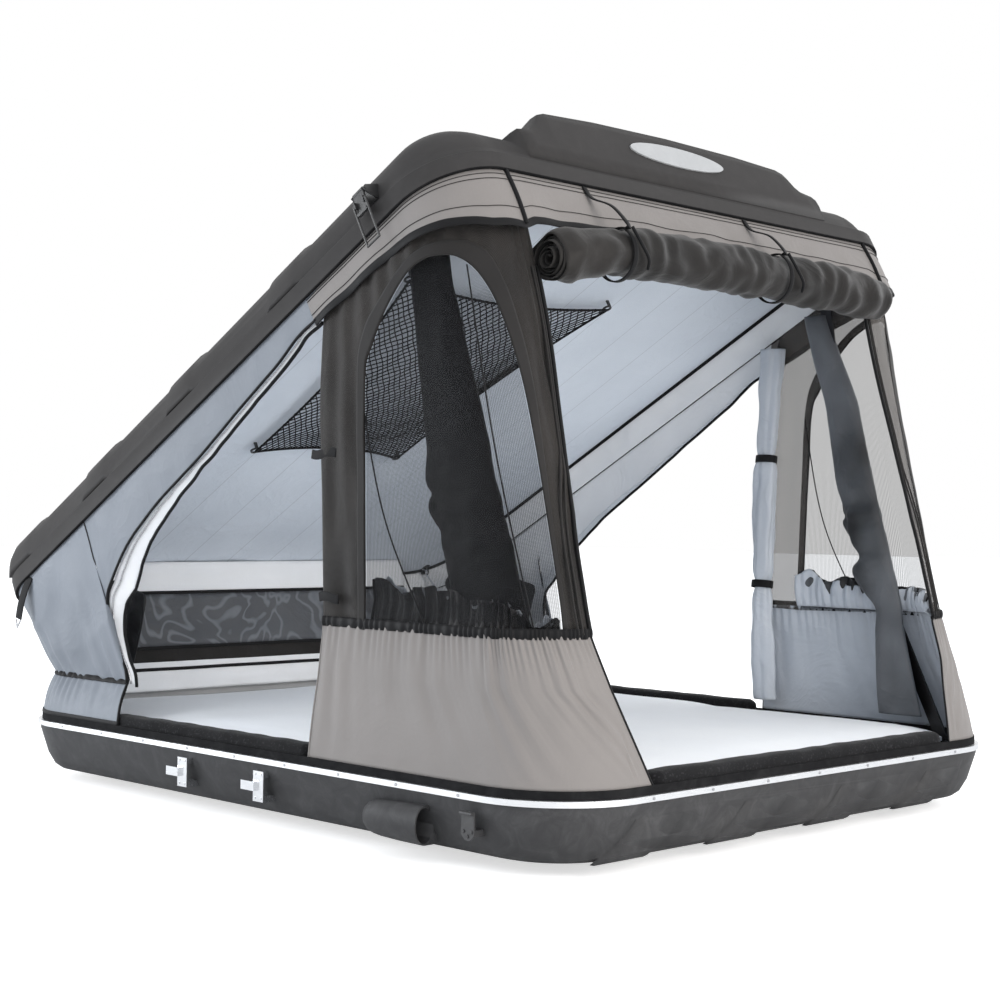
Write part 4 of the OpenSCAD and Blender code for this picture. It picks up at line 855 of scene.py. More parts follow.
def makeCornerWindow(side):
    label = sideName(side)
    pairs = smoothLine([[*a, *b] for a, b in windowArch], 190)
    arch, outer = pairs[:, :2], pairs[:, 2:]
    r = np.linspace(0, 1, 26)[:, None, None]
    pw = arch[None] * (1 - r) + outer[None] * r
    grid = cornerWall(pw[..., 0], pw[..., 1])
    # soft vertical folds in the panel, none where it is sewn to the arch and the lid
    calm = np.sin(np.pi * np.clip(r[..., 0], 0.0, 1)) ** 0.7
    folds = np.sin(pw[..., 0] * 34 + 1.5 * np.sin(pw[..., 1] * 5)) * 2.4
    folds = folds + wander(grid * np.array([1, 1, 0.3]), 45, 8 + side) * 6
    grid = pushed(grid, folds * calm - 1.0)
    grid = mirrored(grid, side)
    panel = onLid(clothPiece("corner_window_%s_panel" % label, grid,
        "columnMesh" if side < 0 else "openNet", thick=1.0))
    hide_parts("corner_window_" + label)
    # a broad dark hem round the arch
    r = np.linspace(0, 1, 8)[:, None, None]
    inner = arch + (outer - arch) * np.array([0.15, 0.17])
    pw = arch[None] * (1 - r) + inner[None] * r
    hem = cornerWall(pw[..., 0], pw[..., 1])
    hem = mirrored(pushed(hem, np.full(hem.shape[:2], 2.6) + wander(hem, 60, 2) * 1.5), side)
    band = onLid(clothPiece("window_hem_" + label, hem, "hemGrey", thick=1.4))
    # the insect net in the arch, from its near edge to its far edge
    half = len(arch) // 2
    leftSide, rightSide = arch[:half], arch[half:][::-1]
    r = np.linspace(0, 1, 40)[:, None, None]
    pw = leftSide[None] * (1 - r) + rightSide[None] * r
    net = cornerWall(pw[..., 0], pw[..., 1])
    sag = np.sin(np.pi * r[..., 0])
    net = pushed(net, -4 - 6 * sag + wander(net, 120, 5) * 8 * sag)
    net = mirrored(net, side)
    screen = onLid(clothPiece("window_net_" + label, net, "windowNet", thick=0.4))
    # zip and piping down the end-door edge, and the tapes over the net
    run = smoothLine(outer[outer[:, 0].argmax():], 60)
    line = cornerWall(run[:, 0], run[:, 1])
    away = line - heart * np.array([1, 0, 1])
    away[:, 2] = 0
    away /= np.linalg.norm(away, axis=1, keepdims=True)
    piping = onLid(tubePiece("end_edge_piping_" + label, [mirrored(line + away * 3, side)], 4.2,
        "pipingBlack", 8))
    zips = []
    for back in (0.07, 0.11):
        spot = cornerWall(run[:, 0] - back * (1 + 0.5 * run[:, 1]), run[:, 1])
        zips.append(mirrored(spot + away * 4.5, side))
    coil = onLid(tubePiece("end_zip_" + label, zips, 2.3, "hemGrey", 6))
    tapes = []
    for points in ([(0.36, 0.66), (0.44, 0.3), (0.62, 0.0)], [(1.50, 0.80), (1.44, 0.4), (1.47, 0.0)]):
        run = smoothLine(points, 30)
        spot = cornerWall(run[:, 0], run[:, 1])
        ribbon = spot[None].repeat(2, 0) + np.array([[[0, 0, 0]], [[0, 0, 1]]])
        tapes.append(mirrored(pushed(ribbon, np.full((2, 30), -2.0))[0], side))
    seams = onLid(tubePiece("net_seams_" + label, tapes, 1.7, "pipingBlack", 6))


bothSides(makeCornerWindow)
print("corner windows made")

# the bunched window flap that lies on the elastic: p, height of its crest
windowFlap = [(0.27, 92), (0.34, 96), (0.45, 66), (0.52, 78), (0.62, 80), (0.75, 72), (0.92, 60),
    (1.02, 62), (1.15, 60), (1.26, 52), (1.38, 30), (1.46, 8), (1.56, 16), (1.64, 30), (1.70, 24)]
# its layers from the outside in: finish, depth behind the elastic, share of the crest's height, seed; the
# middle layer is black cloth with painted highlights
flapLayers = [("flapNet", 8, 1.0, 1), ("slateShine", 17, 0.9, 4), ("satinSilver", 24, 0.86, 6)]


def makeWindowFlap(side):
    label = sideName(side)
    for layer, (finish, depth, rise, seed) in enumerate(flapLayers):
        p = np.linspace(0.27, 1.70, 260)
        v = np.linspace(0, 1, 16)[:, None]
        crest = pick(windowFlap, p) * rise
        foot = cornerFoot(p)
        jag = noiseLine(p * 9, seed) * 9 + noiseLine(p * 26, seed + 2) * 5
        grid = np.repeat(foot[None], 16, 0)
        grid[..., 2] = 434 + v * np.maximum(crest + jag * (1 + layer), 5)
        gather = np.sin(p * 62 + 3 * np.sin(p * 11) + seed) * 3.2 * (0.5 + v) + np.sin(p * 150) * 1.4
        grid = pushed(grid, gather + wander(grid, 38, seed) * 9 * v - depth - 10 * np.sin(np.pi * v * 0.8))
        grid = mirrored(grid, side)
        piece = onLid(clothPiece("window_flap_%s_%d" % (label, layer), grid, finish))


bothSides(makeWindowFlap)
print("window flaps made")

# valance: its depth by the distance up the lid, by the turn round the corner and along the end
valance = {"start": 1478, "sideDepth": [(1478, 62), (1711, 66), (1777, 73), (1816, 80)],
    "cornerDepth": [(0, 80), (0.35, 100), (0.7, 128), (1, 134)],
    "endDepth": [(0, 134), (0.06, 118), (0.25, 112), (0.6, 104), (1, 100)]}


def valanceRun():
    # the whole run from the near side's start round the end to the far side
    side, corner, end = [], [], []
    r = lidCorner - lipInset
    for s in valance["start"] + (lidBendX - valance["start"]) * np.linspace(0, 1, 60):
        side.append((s, -halfWidth + lipInset, pick(valance["sideDepth"], s)))
    for t in np.linspace(0, 1, 40)[1:]:
        turn = t * math.pi / 2
        corner.append((lidBendX + r * math.sin(turn), -lidBendY - r * math.cos(turn),
            pick(valance["cornerDepth"], t)))
    for t in np.linspace(0, 1, 110)[1:]:
        end.append((lidBendX + r, -lidBendY + lidBendY * t, pick(valance["endDepth"], t)))
    half = np.array(side + corner + end)
    other = half[-2::-1] * np.array([1, -1, 1])
    run = np.vstack([half, other])
    v = np.linspace(0, 1, 22)[:, None]
    h = 0.5 - run[None, :, 2] * v
    s = np.broadcast_to(run[None, :, 0], h.shape)
    y = np.broadcast_to(run[None, :, 1], h.shape)
    return np.moveaxis(lidSpot(s, y, h), 0, -1), run


def makeValance():
    grid, run = valanceRun()
    v = np.linspace(0, 1, 22)[:, None]
    along = np.r_[0, np.cumsum(np.linalg.norm(np.diff(run[:, :2], axis=0), axis=1))]
    wave = np.sin(along / 62 + 2 * np.sin(along / 170)) * 2.2 + np.sin(along / 23) * 0.7
    loose = v ** 1.4
    swell = wander(grid * np.array([1, 1, 0.5]), 70, 4) * 6 * loose
    drape = wave[None] * loose + swell + 2.0 * np.sin(np.pi * v)
    grid = pushed(grid, drape)
    cloth = onLid(clothPiece("valance_cloth", grid, "skirtTaupe"))
    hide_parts("valance")
    n = normalsOf(grid)
    hem = onLid(strapPiece("valance_hem", [grid[-1]], 17, 3.2, "pipingBlack", [n[-1]]))
    stitch = onLid(tubePiece("valance_stitching", [grid[row] + n[row] * 0.9 for row in (2, 4, 15)], 0.9,
        "hemGrey", 5))
    ends = [grid[:, place] + n[:, place] * 3 for place in (99, len(run) - 100)]
    bands = onLid(tubePiece("valance_corner_piping", ends, 4.5, "pipingBlack", 8))


makeValance()
print("valance made")

# rolled end door
endRoll = {"x": 735, "z": 1214, "turns": 6.4, "core": 9, "radius": 58, "half": 575, "ties": (-385, 160),
    "fold": (-0.7365, 0, 0.6768)}


def rollMiddle(u):
    return np.stack([endRoll["x"] + 3 * np.cos(u * 9.4), u * endRoll["half"],
        endRoll["z"] - 30 * u ** 4 * np.where(u < 0, 1.3, 0.4)], -1)


def onRoll(piece):
    return onLid(piece)


def makeEndRoll():
    u = np.linspace(-1, 1, 150)
    turn = np.linspace(0, endRoll["turns"], 300)[:, None]
    middle = rollMiddle(u)
    share = turn / endRoll["turns"]
    radius = endRoll["core"] + (endRoll["radius"] - endRoll["core"]) * share
    squeeze = np.ones_like(u)
    for tie in endRoll["ties"]:
        squeeze -= 0.13 * np.exp(-((u * endRoll["half"] - tie) / 40) ** 2)
    squeeze -= 0.10 * np.clip((np.abs(u) - 0.93) / 0.07, 0, 1)
    angle = 2 * math.pi * turn + 0.5
    outer = np.clip((share - 0.72) / 0.2, 0, 1)
    ring = np.stack([np.cos(angle) + 0 * u, 0 * angle + 0 * u, np.sin(angle) + 0 * u], -1)
    grid = middle[None] + ring * (radius * squeeze)[..., None]
    # slanting drag folds between the ties, stronger on the outer turns
    drag = np.sin(u * 60 + angle * 1.0 + 2 * np.sin(u * 11)) * 1.6 + wander(grid, 46, 6) * 8
    drag = drag + creased(grid * np.array([1, 0.5, 1]), 70, 9) * 5 - 3
    grid = grid + ring * (drag * outer)[..., None]
    # the near end's turns slide out a little, one past the other
    slide = np.where(u < -0.9, (np.abs(u) - 0.9) / 0.1, 0) * (6 * np.sin(turn * 2.6) - 10 * (1 - share))
    grid[..., 1] += slide
    roll = onRoll(clothPiece("end_door_roll_cloth", grid,
        "nylonBrown", thick=1.4, aim=(0, 0, 0)))
    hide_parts("end_door_roll")
    # the door's zip edge winds once round the roll as a raised line
    onRoll(tubePiece("end_door_edging", [grid[-1] + ring[-1] * 1.5], 2.4,
        "pipingBlack", 6))


makeEndRoll()


def makeRollTies():
    # an elastic from the lid's lip, over the roll and round it, with a toggle
    lines, facing, toggles = [], [], []
    for y in endRoll["ties"]:
        middle = rollMiddle(np.array([y / endRoll["half"]]))[0]
        r = endRoll["radius"] * 0.9 + 4.5
        top = lidSpot(1974, y - 14, -4)
        over = middle + np.array([r * 0.62, -6, r * 0.86])
        angles = np.radians(np.linspace(62, -282, 44))
        loop = np.stack([middle[0] + r * np.cos(angles), middle[1] + np.linspace(-4, 16, 44),
            middle[2] + r * np.sin(angles)], -1)
        drop = smoothLine([top, top + np.array([24, 0, -26]),
            top * 0.5 + over * 0.5 + np.array([22, -3, 0]), over + np.array([5, 0, 6]), loop[0]], 26)
        line = np.vstack([drop[:-1], loop])
        lines.append(line)
        out = line - middle
        out[:, 1] = 0
        facing.append(out)
        hang = smoothLine([over + np.array([8, 8, 4]), middle + np.array([r + 6, 12, 14]),
            middle + np.array([r + 12, 26, -14]), middle + np.array([r + 2, 34, -34])], 20)
        toggles.append(hang)
    ties = onRoll(strapPiece("roll_straps_cloth", lines, 13, 3.4, "webbingBlack", facing))
    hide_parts("roll_straps")
    onRoll(tubePiece("roll_tie_tails", toggles, 3.6, "pipingBlack", 8))


makeRollTies()
print("end door roll made")

# side walls and the low end
# the door's edge on the side (x, z), each with the place over it on the lid
wallColumns = [
    (-497, 246, -655), (-507, 283, -650), (-527, 312, -646), (-544, 343, -643), (-562, 382, -639),
    (-569, 420, -632), (-566, 450, -622), (-554, 479, -606), (-482, 566, -530), (-400, 634, -452),
    (-326, 688, -384), (-240, 741, -300), (-167, 786, -230), (-90, 838, -152), (-17, 888, -78),
    (60, 939, 0), (126, 983, 80), (195, 1037, 180), (255, 1069, 262),
]
sideWall = {"waistInset": 46, "doorX": -497, "lidDoorX": -655, "rows": 44}
lowWaist = (sideWall["waistInset"], waistTop, sideWall["doorX"])


def lowCornerFoot(t, inset, z, doorX):
    # from the door edge round the low corner to the end: t 0 to 1 side, 1 to 2 corner
    return tubLine(t, inset, -doorX, z) * np.array([-1, 1, 1])


def lowCornerHead(t, h=2.0):
    bend = quarterTurn(t)
    r, first = lidCorner - lipInset, lidAt(sideWall["lidDoorX"])
    s = np.where(t <= 1, first + (lidCorner - first) * t, lidCorner - r * np.sin(bend))
    y = np.where(t <= 1, -halfWidth + lipInset, -lidBendY - r * np.cos(bend))
    return np.moveaxis(lidSpot(s, y, np.full_like(s, h)), 0, -1)


def makeSideWall(side):
    label = sideName(side)
    table = smoothLine(wallColumns, 150)
    doorY = np.interp(np.arange(150), [0, 20, 45, 149], [-755, -770, -783, -789])
    low = np.stack([table[:, 0], doorY, table[:, 1]], -1)
    high = np.stack([lidSpot(lidAt(x), -halfWidth + lipInset, 2.0) for x in table[:, 2]])
    t = np.linspace(2, 0, 76)[:-1]
    low = np.vstack([lowCornerFoot(t, *lowWaist), low])
    high = np.vstack([lowCornerHead(t), high])
    grid = between(low, high, sideWall["rows"])
    v = np.linspace(0, 1, sideWall["rows"])[:, None]
    count = grid.shape[1]
    u = np.linspace(0, 1, count)[None]
    tall = np.clip(np.linalg.norm(high - low, axis=1) / 300, 0, 1)[None]
    # gathers rise from the waist at the low corner, drag lines run along the lid
    fade = pick([(0, 1.0), (0.25, 0.8), (0.7, 0.1), (1, 0)], v)
    fromWaist = np.sin(u * 150 + 2 * np.sin(u * 40)) * 3.0 * fade * np.clip((0.36 - u) / 0.06, 0, 1)
    drag = wander(grid @ np.array([[0.86, 0, 0.5], [0, 1, 0], [-0.2, 0, 0.4]]), 75, 11 + side) * 9
    crisp = (creased(grid * np.array([0.35, 1, 1]), 110, 12 + side) - 0.5) * 4
    swell = np.sin(np.pi * v)
    grid = pushed(grid, (fromWaist + (drag + crisp) * swell ** 0.6 + 5 * swell) * tall)
    grid = mirrored(grid, side)
    wall = onLid(clothPiece("side_wall_%s_cloth" % label, grid, "wallSilver", "wallWhite"))
    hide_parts("side_wall_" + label)
    n = normalsOf(grid)
    edge = grid[0, 75:] + n[0, 75:] * 1.5
    piping = onLid(tubePiece("door_piping_" + label, [edge], 3.4, "pipingBlack", 8))
    # the inner door frame: a white strip with a zip, which looks out under the piping
    frameLow = mirrored(low[75:], side)
    v = np.linspace(0, 1, 8)[:, None, None]
    places, widths = [0, 12, 28, 45, 80, 149], [20, 34, 60, 40, 17, 10]
    width = np.interp(np.arange(len(frameLow)), places, widths)[None, :, None]
    inwards = np.array([0.62, side * -0.55, -0.55])
    inner = frameLow[None] + inwards * width * v - np.array([0, side * 6, 0])
    inner = inner + (wander(inner, 50, 3) * 3)[..., None] * np.array([0, 1, 0])
    strip = onLid(clothPiece("door_frame_" + label, inner, "wallWhite"))
    zipLine = inner[2] + np.array([0, side * 2.6, 0])
    teeth = onLid(tubePiece("door_zip_" + label, [zipLine], 2.2, "springSteel", 6))
    lining = onLid(tubePiece("door_lining_piping_" + label, [inner[-1]], 4.0, "pipingBlack", 8))
    # a seam that drops from the lid to the door's shoulder
    seam = onLid(tubePiece("wall_seam_" + label, [grid[:, 81] + n[:, 81] * 0.6], 1.6,
        "hemGrey", 6))


bothSides(makeSideWall)
print("side walls made")

lowSkirt = {"rows": 24, "rimDoorX": -487}


def makeLowSkirt():
    # from the near door edge round the low end to the far door edge
    t = np.linspace(0, 2, 110)

    def lineAt(inset, z, doorX):
        near = lowCornerFoot(t, inset, z, doorX)
        across = np.linspace(-tubBendY, tubBendY, 110)[1:-1]
        end = np.stack([np.full(108, float(inset) - halfLength), across, np.full(108, float(z))], -1)
        return np.vstack([near, end, (near * np.array([1, -1, 1]))[::-1]])

    low, high = lineAt(rimInset, rimTop, lowSkirt["rimDoorX"]), lineAt(*lowWaist)
    grid = between(low, high, lowSkirt["rows"])
    v = np.linspace(0, 1, lowSkirt["rows"])[:, None]
    u = np.linspace(0, 1, grid.shape[1])[None]
    corner = np.exp(-((u - 0.2) / 0.12) ** 2) + np.exp(-((u - 0.8) / 0.12) ** 2)
    rise = pick([(0, 0), (0.3, 0.35), (0.85, 1.0), (1, 0.7)], v)
    gather = np.sin(u * 330 + 2.5 * np.sin(u * 40)) * 2.6 * rise * (0.35 + corner)
    ripple = wander(grid * np.array([1, 1, 0.5]), 48, 2) * 5 * np.sin(np.pi * v)
    grid = pushed(grid, gather + 5 * np.sin(np.pi * v) + ripple)
    skirt = onBase(clothPiece("low_skirt_cloth", grid, "wallSilver", "wallWhite"))
    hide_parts("low_skirt")
    n = normalsOf(grid)
    waist = onBase(strapPiece("waist_band", [grid[-1] + n[-1] * 2.5], 13, 3.0,
        "pipingBlack", [n[-1]]))
    foot = onBase(strapPiece("skirt_foot_band", [grid[0] + n[0] * 1.0 + np.array([0, 0, 4])], 9, 2.4,
        "pipingBlack", [n[0]]))
    edges = onBase(tubePiece("low_skirt_edging", [grid[:, 0] + n[:, 0], grid[:, -1] + n[:, -1]], 3.4,
        "pipingBlack", 8))


makeLowSkirt()

lowEnd = {"columns": 160, "rows": 34, "footX": -944, "footHalf": 586}


def makeLowEnd():
    # two bands of one panel: taupe strip at the waist, and the net window up to the lid
    y = np.linspace(-lowEnd["footHalf"], lowEnd["footHalf"], lowEnd["columns"])
    low = np.stack([np.full_like(y, lowEnd["footX"]), y, np.full_like(y, waistTop + 1)], -1)
    high = np.stack([lidSpot(lipInset, y, 2.0)
        for y in np.linspace(2 - lidBendY, lidBendY - 2, lowEnd["columns"])])
    grid = between(low, high, lowEnd["rows"])
    swell = np.sin(np.pi * np.linspace(0, 1, lowEnd["rows"])[:, None])
    grid = pushed(grid, (4 * swell + wander(grid * np.array([1, 0.5, 1]), 60, 21) * 8 * swell))
    cuts = [(0, 8, "skirtTaupe", "wallWhite"), (7, 33, "lowNet", None)]
    for index, (first, last, outside, inside) in enumerate(cuts):
        cloth = grid[first:last + 1]
        part = onLid(clothPiece("low_end_band_%d" % index, cloth, outside, inside))
    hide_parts("low_end_wall")
    n = normalsOf(grid)
    lines = [grid[7] - n[7] * 3, grid[-2] - n[-2] * 3, grid[0] - n[0] * 3]
    onLid(strapPiece("low_end_piping", lines, 11, 3.0,
        "pipingBlack", [-n[7], -n[-2], -n[0]]))


makeLowEnd()

# inside of the low end: place along the tent and height of its seams, and the cloth between them
lowPanel = {
    "seams": [(-922, 172), (-926, 231), (-929, 250), (-942, 288), (-982, 438), (-998, 522)], "half": 556,
    "cloths": [(0, 2, "wallWhite"), (2, 3, "nylonBrown"), (3, 4, "lowNet"), (4, 5, "wallWhite")],
}


def makeLowPanel():
    y = np.linspace(-lowPanel["half"], lowPanel["half"], 140)
    rows = []
    for (x0, z0), (x1, z1) in zip(lowPanel["seams"], lowPanel["seams"][1:]):
        for t in np.linspace(0, 1, 9)[:-1]:
            rows.append(np.stack([np.full_like(y, x0 + (x1 - x0) * t), y,
                np.full_like(y, z0 + (z1 - z0) * t)], -1))
    x, z = lowPanel["seams"][-1]
    rows.append(np.stack([np.full_like(y, x), y, np.full_like(y, z)], -1))
    grid = np.array(rows)
    grid[..., 0] += wander(grid * np.array([1, 0.4, 1.4]), 50, 23) * 7 + 6
    for index, (first, last, finish) in enumerate(lowPanel["cloths"]):
        cloth = grid[first * 8:last * 8 + 1]
        part = onLid(clothPiece("low_end_lining_%d" % index, cloth, finish, thick=1.0))
    lines = [grid[row] + np.array([3, 0, 0]) for row in (8, 24, 32)]
    onLid(strapPiece("low_end_lining_piping", lines, 9, 3.0,
        "pipingBlack", [np.tile([1.0, 0, 0.2], (len(y), 1))] * 3))


makeLowPanel()


def makeInnerBand():
    # white cloth inside the lid's rim, from the lip up to the lining board
    def loop(inset, h):
        r = lidCorner - inset
        spots = []
        corners = ((lidBendX, lidBendY), (lidCorner, lidBendY), (lidCorner, -lidBendY), (lidBendX, -lidBendY))
        for k, (cs, cy) in enumerate(corners):
            for a in np.linspace(0, 90, 16):
                turn = math.radians(90 * k + a)
                spots.append(lidSpot(cs + r * math.cos(turn), cy + r * math.sin(turn), h))
        spots.append(spots[0])
        return evenSteps(np.array(spots), 520)

    levels = [(13.5, 3), (16, 24), (22, 44), (29, 60), (34, 70)]
    grid = np.stack([loop(inset, h) for inset, h in levels])
    grid = np.stack([smoothLine(grid[:, i], 20) for i in range(grid.shape[1])], 1)
    inward = lidSpot(halfLength, 0, 30) - grid
    inward /= np.linalg.norm(inward, axis=2, keepdims=True)
    v = np.linspace(0, 1, 20)[:, None]
    soft = (wander(grid, 70, 14) * 5 + creased(grid, 90, 15) * 3) * np.sin(np.pi * v)
    grid = grid + inward * soft[..., None]
    band = rideLid(clothPiece("lid_inner_band", grid, "wallWhite"))
    rim = rideLid(strapPiece("lid_inner_piping", [grid[-1] + inward[-1] * 3], 14, 3,
        "pipingBlack", [inward[-1]]))


makeInnerBand()
print("low end made")

# sleeves round the folding arms: height, near and far edge along the tent, place across it
armSleeve = {
    "outline": [
        (178, 800, 908, -690), (250, 752, 886, -690), (330, 700, 858, -692), (400, 652, 834, -698),
        (456, 618, 817, -710), (493, 611, 809, -716), (528, 602, 798, -717), (560, 592, 787, -717),
        (590, 583, 780, -717), (607, 577, 775, -717), (629, 572, 763, -717), (645, 556, 757, -717),
        (668, 538, 749, -717), (688, 538, 744, -717), (702, 546, 738, -717), (720, 532, 730, -717),
        (742, 528, 722, -717), (785, 531, 711, -717), (826, 524, 699, -717), (897, 514, 675, -717),
        (962, 504, 651, -717), (1073, 488, 615, -717), (1124, 480, 596, -717), (1174, 473, 584, -717),
        (1205, 468, 576, -717),
    ],
    "farOutline": [
        (178, 683, 804, -690), (250, 676, 785, -690), (379, 665, 746, -700), (442, 655, 728, -714),
        (504, 597, 711, -717), (537, 584, 701, -717), (573, 605, 691, -717), (649, 553, 670, -717),
        (678, 557, 662, -717), (771, 530, 636, -717), (907, 506, 602, -717), (971, 494, 586, -717),
        (1080, 458, 538, -717), (1162, 434, 503, -717), (1195, 427, 492, -717),
    ],
    "deep": 21, "columns": 57, "rows": 190,
}


def makeArmSleeve(side):
    label = sideName(side)
    line = smoothLine(armSleeve["outline" if side < 0 else "farOutline"], armSleeve["rows"])
    z, near, far, place = line.T
    angle = np.linspace(0, 2 * math.pi, armSleeve["columns"])
    ring = np.sign(np.cos(angle)) * np.abs(np.cos(angle)) ** 0.8
    middle = np.stack([(near + far) / 2, place, z], -1)
    deep = armSleeve["deep"] * pick([(178, 0.5), (400, 0.6), (480, 1), (1205, 0.9)], z)
    around = [(far - near)[:, None] / 2 * ring[None], deep[:, None] * np.sin(angle)[None],
        0 * z[:, None] * ring[None]]
    grid = middle[:, None] + np.stack(around, -1)
    # long folds down the cloth, and crumples at the elbow
    out = grid - middle[:, None]
    out /= np.maximum(np.linalg.norm(out, axis=2, keepdims=True), 1e-6)
    tall, sides = grid * np.array([1, 1, 0.3]), np.abs(np.sin(angle))[None]
    soft = wander(tall, 42, 17 + side) * 5 + (creased(tall, 80, 18) - 0.5) * 4
    elbow = np.exp(-((z - 640) / 130) ** 2)[:, None]
    soft = soft * sides + wander(grid * np.array([0.7, 1, 1.6]), 48, 19) * 13 * elbow * sides
    soft[:, -1] = soft[:, 0]
    grid = grid + out * soft[..., None]
    grid[:, -1] = grid[:, 0]
    grid = mirrored(grid, side)
    # the far sleeve is the same black cloth, with painted highlights laid on it as a lit copy of the near one
    sleeve = clothPiece("arm_sleeve_%s_cloth" % label, grid,
        "sleeveBlack" if side < 0 else "slateShine", thick=1.6, aim=(0, 0, 0))
    onBase(sleeve)
    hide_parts("arm_sleeve_" + label)


bothSides(makeArmSleeve)
print("arm sleeves made")


# gussets beside the struts
gusset = {
    "front": [(-644, 156), (-600, 238), (-562, 330), (-540, 400), (-529, 452), (-580, 468), (-640, 484)],
    "back": [(-646, 168), (-700, 240), (-800, 330), (-930, 440), (-880, 498)], "y": -686,
}


def makeGusset(side):
    label = sideName(side)
    front = smoothLine(gusset["front"], 40)
    back = smoothLine(gusset["back"], 40)
    v = np.linspace(0, 1, 36)[:, None, None]
    flat = front[None] * (1 - v) + back[None] * v
    y = gusset["y"] - 6 * v[..., 0] * np.ones(40)
    grid = np.stack([flat[..., 0], y, flat[..., 1]], -1)
    fold = wander(grid, 55, 23) * 14 + (creased(grid, 90, 24) - 0.5) * 10
    grid[..., 1] += fold * np.sin(np.pi * v[..., 0]) ** 0.5
    grid = mirrored(grid, side)
    piece = onLid(clothPiece("strut_sleeve_%s_cloth" % label, grid,
        "gussetBlack", thick=1.4))
    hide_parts("strut_sleeve_" + label)


bothSides(makeGusset)

# rolled side doors: place along the side, how far in the middle line runs at each height, and radius
doorRoll = {"x": 287, "radius": 33, "run": [(160, 49.6), (300, 63.6), (432, 67.6), (1100, 43.1)],
    "foot": 176, "ties": (0.33, 0.69)}


def makeDoorRoll(side):
    label = sideName(side)
    top = lidSpot(lidAt(doorRoll["x"]), 0, 0)[2] - 30
    v = np.linspace(0, 1, 150)
    z = doorRoll["foot"] + (top - doorRoll["foot"]) * v
    y = -halfWidth + pick(doorRoll["run"], z)
    middle = np.stack([doorRoll["x"] - 8 * np.sin(np.pi * v), y, z], -1)
    angle = np.linspace(0, 2 * math.pi, 65)
    squeeze = np.ones_like(v)
    for tie in doorRoll["ties"]:
        squeeze -= 0.22 * np.exp(-((v - tie) / 0.025) ** 2)
    turn, rise = angle[None], v[:, None]
    lobes = 1 + 0.10 * np.sin(3 * turn + 9 * rise) + 0.05 * np.sin(7 * turn + 5 * rise)
    radius = doorRoll["radius"] * squeeze[:, None] * lobes * (0.94 + 0.1 * np.sin(v * 14))[:, None]
    ring = np.stack([np.cos(angle), 0.62 * np.sin(angle), 0 * angle], -1)
    grid = middle[:, None] + ring[None] * radius[..., None]
    drag = wander(grid * np.array([1, 1, 0.5]), 34, 31 + side) * 6
    drag[:, -1] = drag[:, 0]
    grid = mirrored(grid + ring[None] * drag[..., None], side)
    roll = onBase(clothPiece("side_door_roll_%s_cloth" % label, grid,
        "rollBlack" if side < 0 else "satinSilver", thick=1.4, aim=(0, 0, 0)))
    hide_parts("side_door_roll_" + label)
    lines, facing = [], []
    for tie in doorRoll["ties"]:
        i = int(tie * 149)
        turn = np.linspace(0, 2 * math.pi, 40)
        loop = middle[i] + np.stack([np.cos(turn) * 31, np.sin(turn) * 21, 3 * np.sin(turn)], -1)
        lines.append(mirrored(loop, side))
        facing.append(mirrored(loop - middle[i], side))
    onBase(strapPiece("door_roll_ties_" + label, lines, 20, 3,
        "webbingBlack", facing))


# ends of the ties, closed over the column's cloth
tieEnds = {"high": (223, 304, 787, -770), "low": (264, 327, 484, -778), "width": 20}


def makeTieEnds(side):
    lines = []
    for x0, x1, z, y in (tieEnds["high"], tieEnds["low"]):
        x = np.linspace(x0, x1, 30)
        puff = 3 * np.sin((x - x0) / (x1 - x0) * np.pi)
        lines.append(mirrored(np.stack([x, np.full_like(x, y) - puff, z + 3 * np.sin(x / 14)], -1), side))
    facing = [np.tile([0.0, side, 0.0], (30, 1))] * 2
    onBase(strapPiece("door_roll_tie_ends_" + sideName(side), lines, tieEnds["width"], 3,
        "webbingBlack", facing))


makeTieEnds(-1)
bothSides(makeDoorRoll)
print("door rolls made")

# storage net under the ceiling: corners in the lid's frame
storageNet = {"corners": [(765, -436), (1521, -511), (1514, 155), (761, 40)], "h": 51, "sag": 34,
    "strands": 30, "pull": 0.10}


def netSpot(u, v):
    a, b, c, d = [np.array(k, float) for k in storageNet["corners"]]
    u, v = np.asarray(u, float), np.asarray(v, float)
    # the edges draw in between the corners
    uu = 0.5 + (u - 0.5) * (1 - storageNet["pull"] * 4 * v * (1 - v))
    vv = 0.5 + (v - 0.5) * (1 - storageNet["pull"] * 4 * u * (1 - u))
    uu, vv = uu[..., None], vv[..., None]
    flat = a * (1 - uu) * (1 - vv) + b * uu * (1 - vv) + c * uu * vv + d * (1 - uu) * vv
    h = storageNet["h"] - storageNet["sag"] * 16 * u * (1 - u) * v * (1 - v)
    return np.moveaxis(lidSpot(flat[..., 0], flat[..., 1], h), 0, -1)


